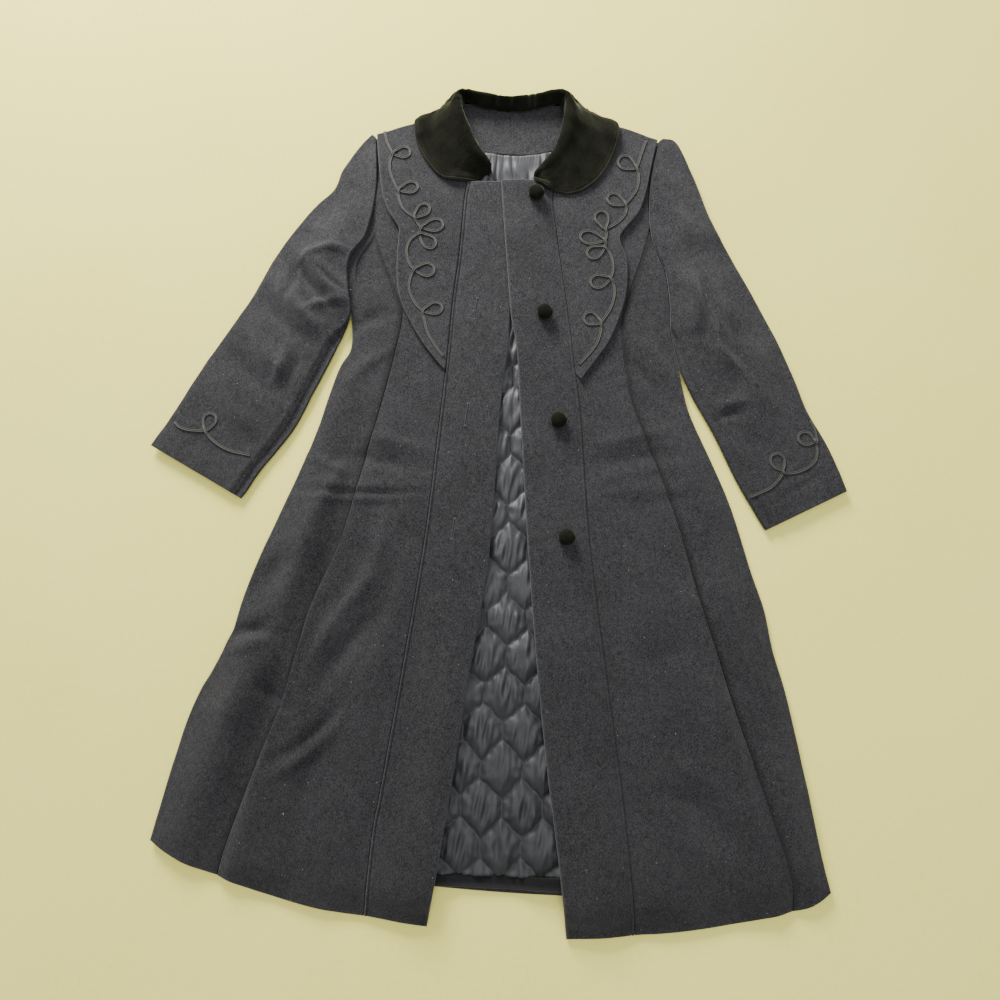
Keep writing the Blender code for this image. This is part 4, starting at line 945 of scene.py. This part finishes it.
def make_fronts(fronts_of):
    """Bands, front panels and side panels of both fronts, each front on one run of heights."""
    half = SEAM_GAP / 2
    right, left = fronts_of["right"], fronts_of["left"]
    return [
        lay_panel("side_panel_right", seam((ARMHOLE_RIGHT + SIDE_RIGHT)[3:]),
                  seam(PRINCESS_RIGHT, SIDE_START, dx=-half), right, FRONT_WALL,
                  seams=("second", "start"), crown=(0, 4), creases=CREASES_RIGHT, own=HOLLOW_RIGHT,
                  shadow=0.16),
        lay_panel("side_panel_left", seam(PRINCESS_LEFT, SIDE_START, dx=half),
                  seam((ARMHOLE_LEFT + SIDE_LEFT)[3:]), left, FRONT_WALL,
                  seams=("first", "start"), crown=(0, 4), creases=CREASES_LEFT, own=HOLLOW_LEFT,
                  shadow=0.16),
        lay_panel("front_panel_right", seam(PRINCESS_RIGHT, dx=half), seam(BAND_SEAM_RIGHT, dx=-half),
                  right, FRONT_WALL, seams=("first", "second"), crown=(5, 6), creases=CREASES_RIGHT,
                  own=FOLD_RIGHT),
        lay_panel("front_panel_left", seam(BAND_SEAM_LEFT, dx=half), seam(PRINCESS_LEFT, dx=-half),
                  left, FRONT_WALL, seams=("first", "second"), crown=(5, 4), creases=CREASES_LEFT,
                  own=FOLD_LEFT),
        lay_panel("front_band_right", seam(BAND_SEAM_RIGHT, BAND_START, dx=half), seam(BAND_EDGE_RIGHT),
                  right, DOUBLE_WOOL, seams=("first",), welt="first", creases=CREASES_RIGHT),
        lay_panel("front_band_left", seam(BAND_EDGE_LEFT), seam(BAND_SEAM_LEFT, BAND_START, dx=-half),
                  left, DOUBLE_WOOL, seams=("second",), welt="second", creases=CREASES_LEFT),
    ]


def make_sleeves(fronts_of):
    """Upper and under panel of each sleeve; the head rises to the front's height along the armhole."""
    made = []
    for side, body, outer, inner, creases, underarm, drop in (
            ("right", 1, SLEEVE_OUTER_RIGHT, ARMHOLE_RIGHT + SLEEVE_INNER_RIGHT,
             CREASES_SLEEVE_RIGHT, 184, 4.6),
            ("left", -1, SLEEVE_OUTER_LEFT, ARMHOLE_LEFT + SLEEVE_INNER_LEFT,
             CREASES_SLEEVE_LEFT, 140, 1.4)):
        far, near = seam(outer), seam(inner, dx=-SEAM_GAP * body)
        armhole = smooth_step(near[:, 1], underarm, underarm + 30)
        upper, under = f"sleeve_{side}_upper", f"sleeve_{side}_under"
        own, body_heights = Layer([upper], blur=5.0), fronts_of[side]
        middle = 0.5 * (far + near)
        inset_far, inset_near = middle + (far - middle) * 0.9, middle + (near - middle) * 0.94
        inset_near[:, 0] += 11.0 * body * armhole
        inset = [along(edge, np.linspace(0.004, 0.985, 200)) for edge in (inset_far, inset_near)]
        edges, inner_side = [far, near], "second"
        if side == "left":
            edges.reverse()
            inset.reverse()
            inner_side = "first"

        def head(distance, y):
            """Rise of the sleeve towards the armhole seam."""
            edge = np.interp(-y, -near[:, 1], near[:, 0])
            level = np.interp(-y, -near[:, 1], armhole)
            rise = body_heights.at(edge + 4.0 * body, y) - own.at(edge, y) - 0.4
            return np.clip(rise, 0, 9) * level * np.exp(-(distance[inner_side] / HEAD_REACH) ** 2)

        strip = dict(side=inner_side, drop=drop,
                     wide=lambda down: 10.5 - 15.0 * (1 - smooth_step(down, 215, 275)))
        made.append(lay_panel(upper, *edges, own, SLEEVE_WALL, seams=(inner_side,), creases=creases,
                              uneven=0.5, lift=head, strip=strip))
        made.append(lay_panel(under, *inset, Layer([under], blur=5.0), SLEEVE_WALL, step=7.0, uneven=0.2))
    return made


def make_caplets():
    """The free shoulder flaps, sewn in along the band's seam, their outer edges standing a little off."""
    made = []
    for side, edge, sewn_to, dx in (("right", CAPLET_EDGE_RIGHT, BAND_SEAM_RIGHT, -SEAM_GAP),
                                    ("left", CAPLET_EDGE_LEFT, BAND_SEAM_LEFT, SEAM_GAP)):
        lines, free, sewn = [seam(edge), seam(sewn_to, 0.0, CAPLET_END, dx=dx)], "first", "second"
        if side == "left":
            lines.reverse()
            free, sewn = sewn, free

        def stand_off(distance, _):
            """Rise of the caplet towards its free edge."""
            return CAPLET_STAND * np.exp(-(distance[free] / CAPLET_REACH) ** 2)

        name = f"caplet_{side}"
        made.append(lay_panel(name, *lines, Layer([name], blur=4.0), CAPLET_WALL, step=3.0,
                              seams=(sewn,), crown=(5, 0), uneven=0.3, lift=stand_off))
    return made


class Built:
    """The pieces that are already laid, looked down on."""

    def __init__(self, pieces):
        self.trees = []
        for piece in pieces:
            points = [tuple(np.array(v.co) / MM + CENTRE) for v in piece.data.vertices]
            self.trees.append(BVHTree.FromPolygons(points, [tuple(f.vertices) for f in piece.data.polygons]))

    def at(self, x, y):
        """How high the topmost piece lies at a place, or 0 beside them all."""
        heights = [height_at(tree, x, y) for tree in self.trees]
        return max([h for h in heights if not math.isnan(h)], default=0.0)


def collar_rows():
    """The collar's sections at even steps along it, and how far along each one lies."""
    table = smooth_curve([list(row.values()) for row in COLLAR_SECTIONS], steps=10)
    places = np.concatenate([[0], np.cumsum(np.linalg.norm(np.diff(table[:, :4], axis=0), axis=1))])
    run = np.linspace(0, places[-1], COLLAR_ROWS)
    return np.stack([np.interp(run, places, values) for values in table.T], axis=1), run


def collar_line(row, low, foot_low, steps=8):
    """The middle of one section from the neck seam over the roll to the edge, and where it lies on cloth.

    A resting fall slopes down on what lies below; one that turns under stands up and is tucked in below.
    """
    x, y, out_x, out_y, roll, foot, edge, under = row
    roll_point, out_point = np.array((x, y)), np.array((out_x, out_y))
    reach = max(np.linalg.norm(out_point - roll_point), 1.0)
    direction = (out_point - roll_point) / reach
    half = COLLAR_WALL / 2
    top = roll - half
    seam_height = max(NECK_SEAM_HEIGHT, foot_low + 0.6)
    line = [(foot, seam_height), (0.5 * foot - 0.5, 0.5 * (seam_height + top)), (-0.5, top - 2.0),
            (0.12 * reach, top)]
    roll_end = len(line) - 1
    flat_end = low + SEAM_GAP + half + max(edge, 0.0)
    turned = min(max(under / 30.0, 0.0), 1.0)
    for share in (0.28, 0.45, 0.62, 0.80, 0.92, 1.0):
        resting = flat_end + (top - flat_end) * (1 - share) ** 1.6
        standing = top * (0.86 - 0.53 * smooth_step(share, 0.3, 1.0))
        line.append((share * reach, resting * (1 - turned) + standing * turned))
    tucked = []
    if turned > 0.05:
        for back_by, height in ((1.5, 3.6), (0.45 * under + 2, half), (under + 3, half)):
            lowered = line[-1][1] * (1 - turned) + height * turned
            tucked.append((out_point[0] * (1 - 0.0015 * back_by), out_point[1] - back_by * turned, lowered))
    path = smooth_curve([(*(roll_point + direction * s), z) for s, z in line] + tucked, steps)
    ends = [run_length(path[:steps * k + 1]) / run_length(path) for k in (roll_end, len(line) - 1)]
    return along(path, COLLAR_SHARES), ends


def lift_clear(centre, on_cloth, built):
    """Lift the collar where its wall would dip into what lies below, evenly along it."""
    resting = np.array([[built.at(*point[:2]) if on else 0.0 for point, on in zip(line, ons)]
                        for line, ons in zip(centre, on_cloth)]) + 0.35 + COLLAR_WALL / 2
    short = np.where(on_cloth, np.maximum(resting - centre[..., 2], 0), 0)
    wide = np.pad(short, ((4, 4), (0, 0)), mode="edge")
    short = np.max([wide[k:k + len(centre)] for k in range(9)], axis=0)
    short = np.array([even(line, 3) for line in short.T]).T
    centre[..., 2] += np.where(on_cloth, short * 1.15, 0)


def make_collar(built):
    """The velvet collar: stand, roll and fall in one shell, edge-stitched round its fall."""
    rows, run = collar_rows()
    low = even([built.at(row[2], row[3]) for row in rows], 6)
    foot_low = even([built.at(row[0], row[1]) for row in rows], 6)
    centre, on_cloth = [], []
    for number, row in enumerate(rows):
        line, (roll_end, fall_end) = collar_line(row, low[number], foot_low[number])
        near_tip = min(number, COLLAR_ROWS - 1 - number) < 9
        centre.append(line)
        on_cloth.append((COLLAR_SHARES <= fall_end + 1e-6) & (near_tip | (COLLAR_SHARES >= roll_end)))
    centre = np.array(centre)
    lift_clear(centre, np.array(on_cloth), built)
    normal = np.cross(np.gradient(centre, axis=0), np.gradient(centre, axis=1))
    normal /= np.maximum(np.linalg.norm(normal, axis=-1, keepdims=True), 1e-9)
    on_the_fall = (30, 24, 2)
    if normal[on_the_fall] < 0:
        normal = -normal
    half = COLLAR_WALL / 2
    from_edge = (1 - COLLAR_SHARES) * COLLAR_WIDTH
    from_end = np.minimum(run, run[-1] - run)[:, None]
    inset = np.maximum(rounding(from_edge, half, half)[None, :], rounding(from_end, half, half))
    inset = np.maximum(inset, rounding(COLLAR_SHARES * COLLAR_WIDTH, half, half)[None, :])
    stitched = 0.55 * np.exp(-((from_edge - 3.0) / 0.7) ** 2)[None, :]
    x, y = centre[..., 0], centre[..., 1]
    uneven = 0.4 * noise_of(x, y, 34.0, 21) + 0.15 * noise_of(x, y, 9.0, 22)
    crush = sum(0.8 * np.exp(-((x - at) / 1.6) ** 2) for at in (-12.0, 5.0, 26.0, 33.0))
    crush = crush * (smooth_step(y, 452, 458) * smooth_step(-np.abs(x - 8), -52, -44))
    outward = np.maximum(half - inset, LEAST_WALL)
    outer = centre + normal * (outward - stitched + uneven - crush)[..., None]
    inner = centre - normal * outward[..., None]
    outer[..., 2] = np.maximum(outer[..., 2], 0.2)
    inner[..., 2] = np.maximum(inner[..., 2], 0.1)
    points, faces = shell(outer, inner)
    rim = np.minimum(from_edge[None, :], from_end + 0.4)
    uv = np.stack([rim.ravel(), crush.ravel()], axis=1)
    return make_piece("collar_velvet", points, faces, finish_of["velvet"], ["collar"],
                      uv=np.vstack([uv, uv]))


# A loop from its crossing round its tip: shares of its length and of half its width
LOOP = [(0.0, 0.0), (0.34, 0.72), (0.66, 1.0), (0.93, 0.62), (1.0, 0.0),
        (0.93, -0.62), (0.66, -1.0), (0.34, -0.72), (0.0, 0.0)]

# Two cords side by side in section: shares of half the braid's width and of its height
TWO_CORDS = [(-1.0, 0.25), (-0.92, 0.72), (-0.58, 1.0), (-0.2, 0.72), (0.0, 0.5), (0.2, 0.72),
             (0.58, 1.0), (0.92, 0.72), (1.0, 0.25), (0.7, -0.2), (-0.7, -0.2)]


def loop_points(row):
    """A drop-shaped loop from its crossing round its tip and back; it sets off on its lower side."""
    root = np.array((row["x"], row["y"]), float)
    run = np.array((row["tip_x"], row["tip_y"]), float) - root
    length = np.linalg.norm(run)
    run /= length
    aside = np.array((run[1], -run[0]))
    if aside[1] > 0:
        aside = -aside
    half = row["width"] / 2
    return [tuple(root + run * length * a + aside * half * b) for a, b in LOOP]


def make_braid(name, table, built, step=1.3):
    """A soutache of two cords side by side along its loops, lying on the cloth and over itself."""
    points = []
    for row in table:
        points += loop_points(row) if "tip_x" in row else [(row["x"], row["y"])]
    fine = smooth_curve(points)
    length = run_length(fine)
    count = int(length / step) + 1
    path = along(fine, np.linspace(0, 1, count))
    run = np.linspace(0, length, count)
    tangent = np.gradient(path, axis=0)
    tangent /= np.linalg.norm(tangent, axis=1, keepdims=True)
    side = np.stack([-tangent[:, 1], tangent[:, 0]], axis=1)
    height = even([built.at(*place) for place in path], 2)
    for i in range(count):
        near = (np.linalg.norm(path[:i] - path[i], axis=1) < 0.85 * BRAID_WIDTH) & (run[:i] < run[i] - 10.0)
        if near.any():
            height[i] = max(height[i], (height[:i][near] + 0.8 * BRAID_HEIGHT).max())
    slope = 0.32 * step
    for i in [*range(1, count), *range(count - 2, -1, -1)]:
        before = height[i - 1] if i and height[i - 1] > height[i] else height[min(i + 1, count - 1)]
        height[i] = max(height[i], before - slope)
    half = BRAID_WIDTH / 2
    size = len(TWO_CORDS)
    points = np.array([(*(path[i] + side[i] * a * half), height[i] + b * BRAID_HEIGHT)
                       for i in range(count) for a, b in TWO_CORDS])
    uv = np.array([(run[i], a) for i in range(count) for a, _ in TWO_CORDS])
    faces = []
    for i in range(count - 1):
        for k in range(size):
            n = (k + 1) % size
            faces.append((i * size + k, i * size + n, (i + 1) * size + n, (i + 1) * size + k))
    faces.append(tuple(range(size - 1, -1, -1)))
    faces.append(tuple((count - 1) * size + k for k in range(size)))
    return make_piece(name + "_soutache", points, faces, finish_of["braid"], [name], uv=uv)


def make_button(number, place, built):
    """A ball button covered in velvet, gathered in at its foot."""
    foot = built.at(place["x"], place["y"])
    rings, sides = 22, 44
    points = [(place["x"], place["y"], foot - 0.6)]
    for ring in range(1, rings):
        tilt = math.pi * ring / rings
        for k in range(sides):
            turn = math.tau * k / sides
            radius = BUTTON_RADIUS * math.sin(tilt) ** 0.82
            z = foot + BUTTON_HEIGHT * 0.5 * (1 - math.cos(tilt)) - 0.3
            gathered = 1 + 0.045 * math.cos(11 * turn + number) * max(0.0, math.cos(tilt)) ** 0.6
            squashed = 1 + 0.02 * math.sin(2 * turn + 2.1 * number)
            points.append((place["x"] + radius * gathered * squashed * math.cos(turn),
                           place["y"] + radius * gathered * math.sin(turn), z))
    points.append((place["x"], place["y"], foot + BUTTON_HEIGHT - 0.3))
    last = len(points) - 1
    faces = []
    for k in range(sides):
        n = (k + 1) % sides
        faces.append((0, 1 + n, 1 + k))
        for ring in range(rings - 2):
            a, b = 1 + ring * sides, 1 + (ring + 1) * sides
            faces.append((a + k, a + n, b + n, b + k))
        top = 1 + (rings - 2) * sides
        faces.append((top + k, top + n, last))
    return make_piece(f"button_{number}_ball", points, faces, finish_of["velvet"],
                      [f"button_{number}"], uv=[NO_SEAM] * len(points))


# One buttonhole stitch: shares of its length and its thickness, and how high it stands there
STITCH_LENGTHWISE = ((-1.0, 0.15), (-0.5, 0.85), (0.0, 1.0), (0.5, 0.85), (1.0, 0.15))
STITCH_CROSSWISE = ((-1, 0.0), (-0.6, 0.8), (0, 1.0), (0.6, 0.8), (1, 0.0))
STITCH_RISE, STITCH_PITCH = 0.75, 0.9


def make_buttonhole(number, place, built):
    """A worked buttonhole: close stitches round a slit, with a bar at each end."""
    start = np.array((place["x0"], place["y0"]), float)
    end = np.array((place["x1"], place["y1"]), float)
    run = end - start
    length = np.linalg.norm(run)
    run /= length
    aside = np.array((-run[1], run[0]))
    points, faces = [], []

    def stitch(centre, direction, long, thick):
        """One stitch: a short raised bead across the slit's edge."""
        across = np.array((-direction[1], direction[0]))
        z = built.at(*centre)
        base = len(points)
        for a, lengthwise in STITCH_LENGTHWISE:
            for b, crosswise in STITCH_CROSSWISE:
                place_xy = centre + direction * a * long / 2 + across * b * thick / 2
                points.append((*place_xy, z - 0.15 + STITCH_RISE * lengthwise * crosswise))
        for i in range(4):
            for j in range(4):
                k = base + 5 * i + j
                faces.append((k, k + 5, k + 6, k + 1))
        rim = [base + k for k in (0, 1, 2, 3, 4, 9, 14, 19, 24, 23, 22, 21, 20, 15, 10, 5)]
        faces.append(tuple(rim))

    count = int(length / STITCH_PITCH)
    for k in range(count + 1):
        middle = start + run * length * k / count
        for sign in (-1, 1):
            stitch(middle + aside * sign * 0.85, aside, 1.1, 0.8)
    for middle in (start - run * 0.9, end + run * 0.9):
        for sign in (-0.9, 0.0, 0.9):
            stitch(middle + run * sign * 0.6, aside, 3.4, 0.75)
    make_piece(f"buttonhole_{number}", points, faces, finish_of["thread"], [])
    # The slit: a thin dark strip of the darker wool, painted shade where the cut opens
    slit = [start + run * length * k / 12 + aside * 0.55 * sign for sign in (-1, 1) for k in range(13)]
    low = [(*place_xy, built.at(*place_xy) + 0.12) for place_xy in slit]
    quads = [(k, k + 1, k + 14, k + 13) for k in range(12)]
    make_piece(f"buttonhole_slit_shade_{number}", low, quads, finish_of["wool_inside"], [],
               uv=[(20.0, 20.0)] * len(low))


def make_camera():
    """The photograph's view: from above the middle, tilted a little up the coat."""
    tilt, roll = math.radians(CAMERA_TILT), math.radians(CAMERA_ROLL)
    s, c = math.sin(roll), math.cos(roll)
    right = Vector((c, s, 0))
    up = Vector((-math.cos(tilt) * s, math.cos(tilt) * c, math.sin(tilt)))
    back = right.cross(up)
    camera = bpy.data.objects.new("camera", bpy.data.cameras.new("camera"))
    bpy.context.scene.collection.objects.link(camera)
    camera.data.sensor_width = SENSOR
    camera.data.lens = LENS_TO_SENSOR * SENSOR
    camera.data.clip_start, camera.data.clip_end = 0.02, 20.0
    turn = Matrix((right, up, back)).transposed().to_4x4()
    camera.matrix_world = Matrix.Translation((CAMERA_PLACE - CENTRE) * MM) @ turn
    bpy.context.scene.camera = camera


def add_light(name, place, size, power, colour):
    """A square area light that shines on the middle of the coat."""
    light = bpy.data.lights.new(name, "AREA")
    light.size, light.energy, light.color = size, power, colour
    lamp = bpy.data.objects.new(name, light)
    bpy.context.scene.collection.objects.link(lamp)
    lamp.location = place
    lamp.rotation_mode = "QUATERNION"
    lamp.rotation_quaternion = (-Vector(place)).to_track_quat("-Z", "Y")


def make_studio():
    """The plain ground under the coat, the room's light and the lamps."""
    bpy.ops.object.select_all(action="DESELECT")
    bpy.ops.mesh.primitive_plane_add(size=9.0, location=(0, 0, -0.0004))
    floor = bpy.context.object
    floor.name = "floor"
    floor.data.materials.append(floor_finish())
    world = bpy.data.worlds.new("studio")
    bpy.context.scene.world = world
    world.use_nodes = True
    room = world.node_tree.nodes["Background"].inputs
    room["Color"].default_value, room["Strength"].default_value = ROOM_COLOUR, ROOM_STRENGTH
    for lamp in LAMPS:
        add_light(**lamp)


back, hem = make_back()
lining = make_lining()
facing, gathers = make_neck()
fronts_of = {side: Layer([f"front_band_{side}", f"front_panel_{side}", f"side_panel_{side}"])
             for side in ("right", "left")}
side_right, side_left, front_right, front_left, band_right, band_left = fronts = make_fronts(fronts_of)
sleeve_right, under_right, sleeve_left, under_left = sleeves = make_sleeves(fronts_of)
caplet_right, caplet_left = caplets = make_caplets()
built = Built([facing, *fronts, *sleeves, *caplets])
for name, turns in (("caplet_braid_right", CAPLET_BRAID_RIGHT), ("caplet_braid_left", CAPLET_BRAID_LEFT),
                    ("cuff_braid_right", CUFF_BRAID_RIGHT), ("cuff_braid_left", CUFF_BRAID_LEFT)):
    make_braid(name, turns, built)
for number, place in enumerate(BUTTONS, 1):
    make_button(number, place, built)
for number, place in enumerate(BUTTONHOLES, 1):
    make_buttonhole(number, place, built)
collar = make_collar(built)

make_camera()
make_studio()
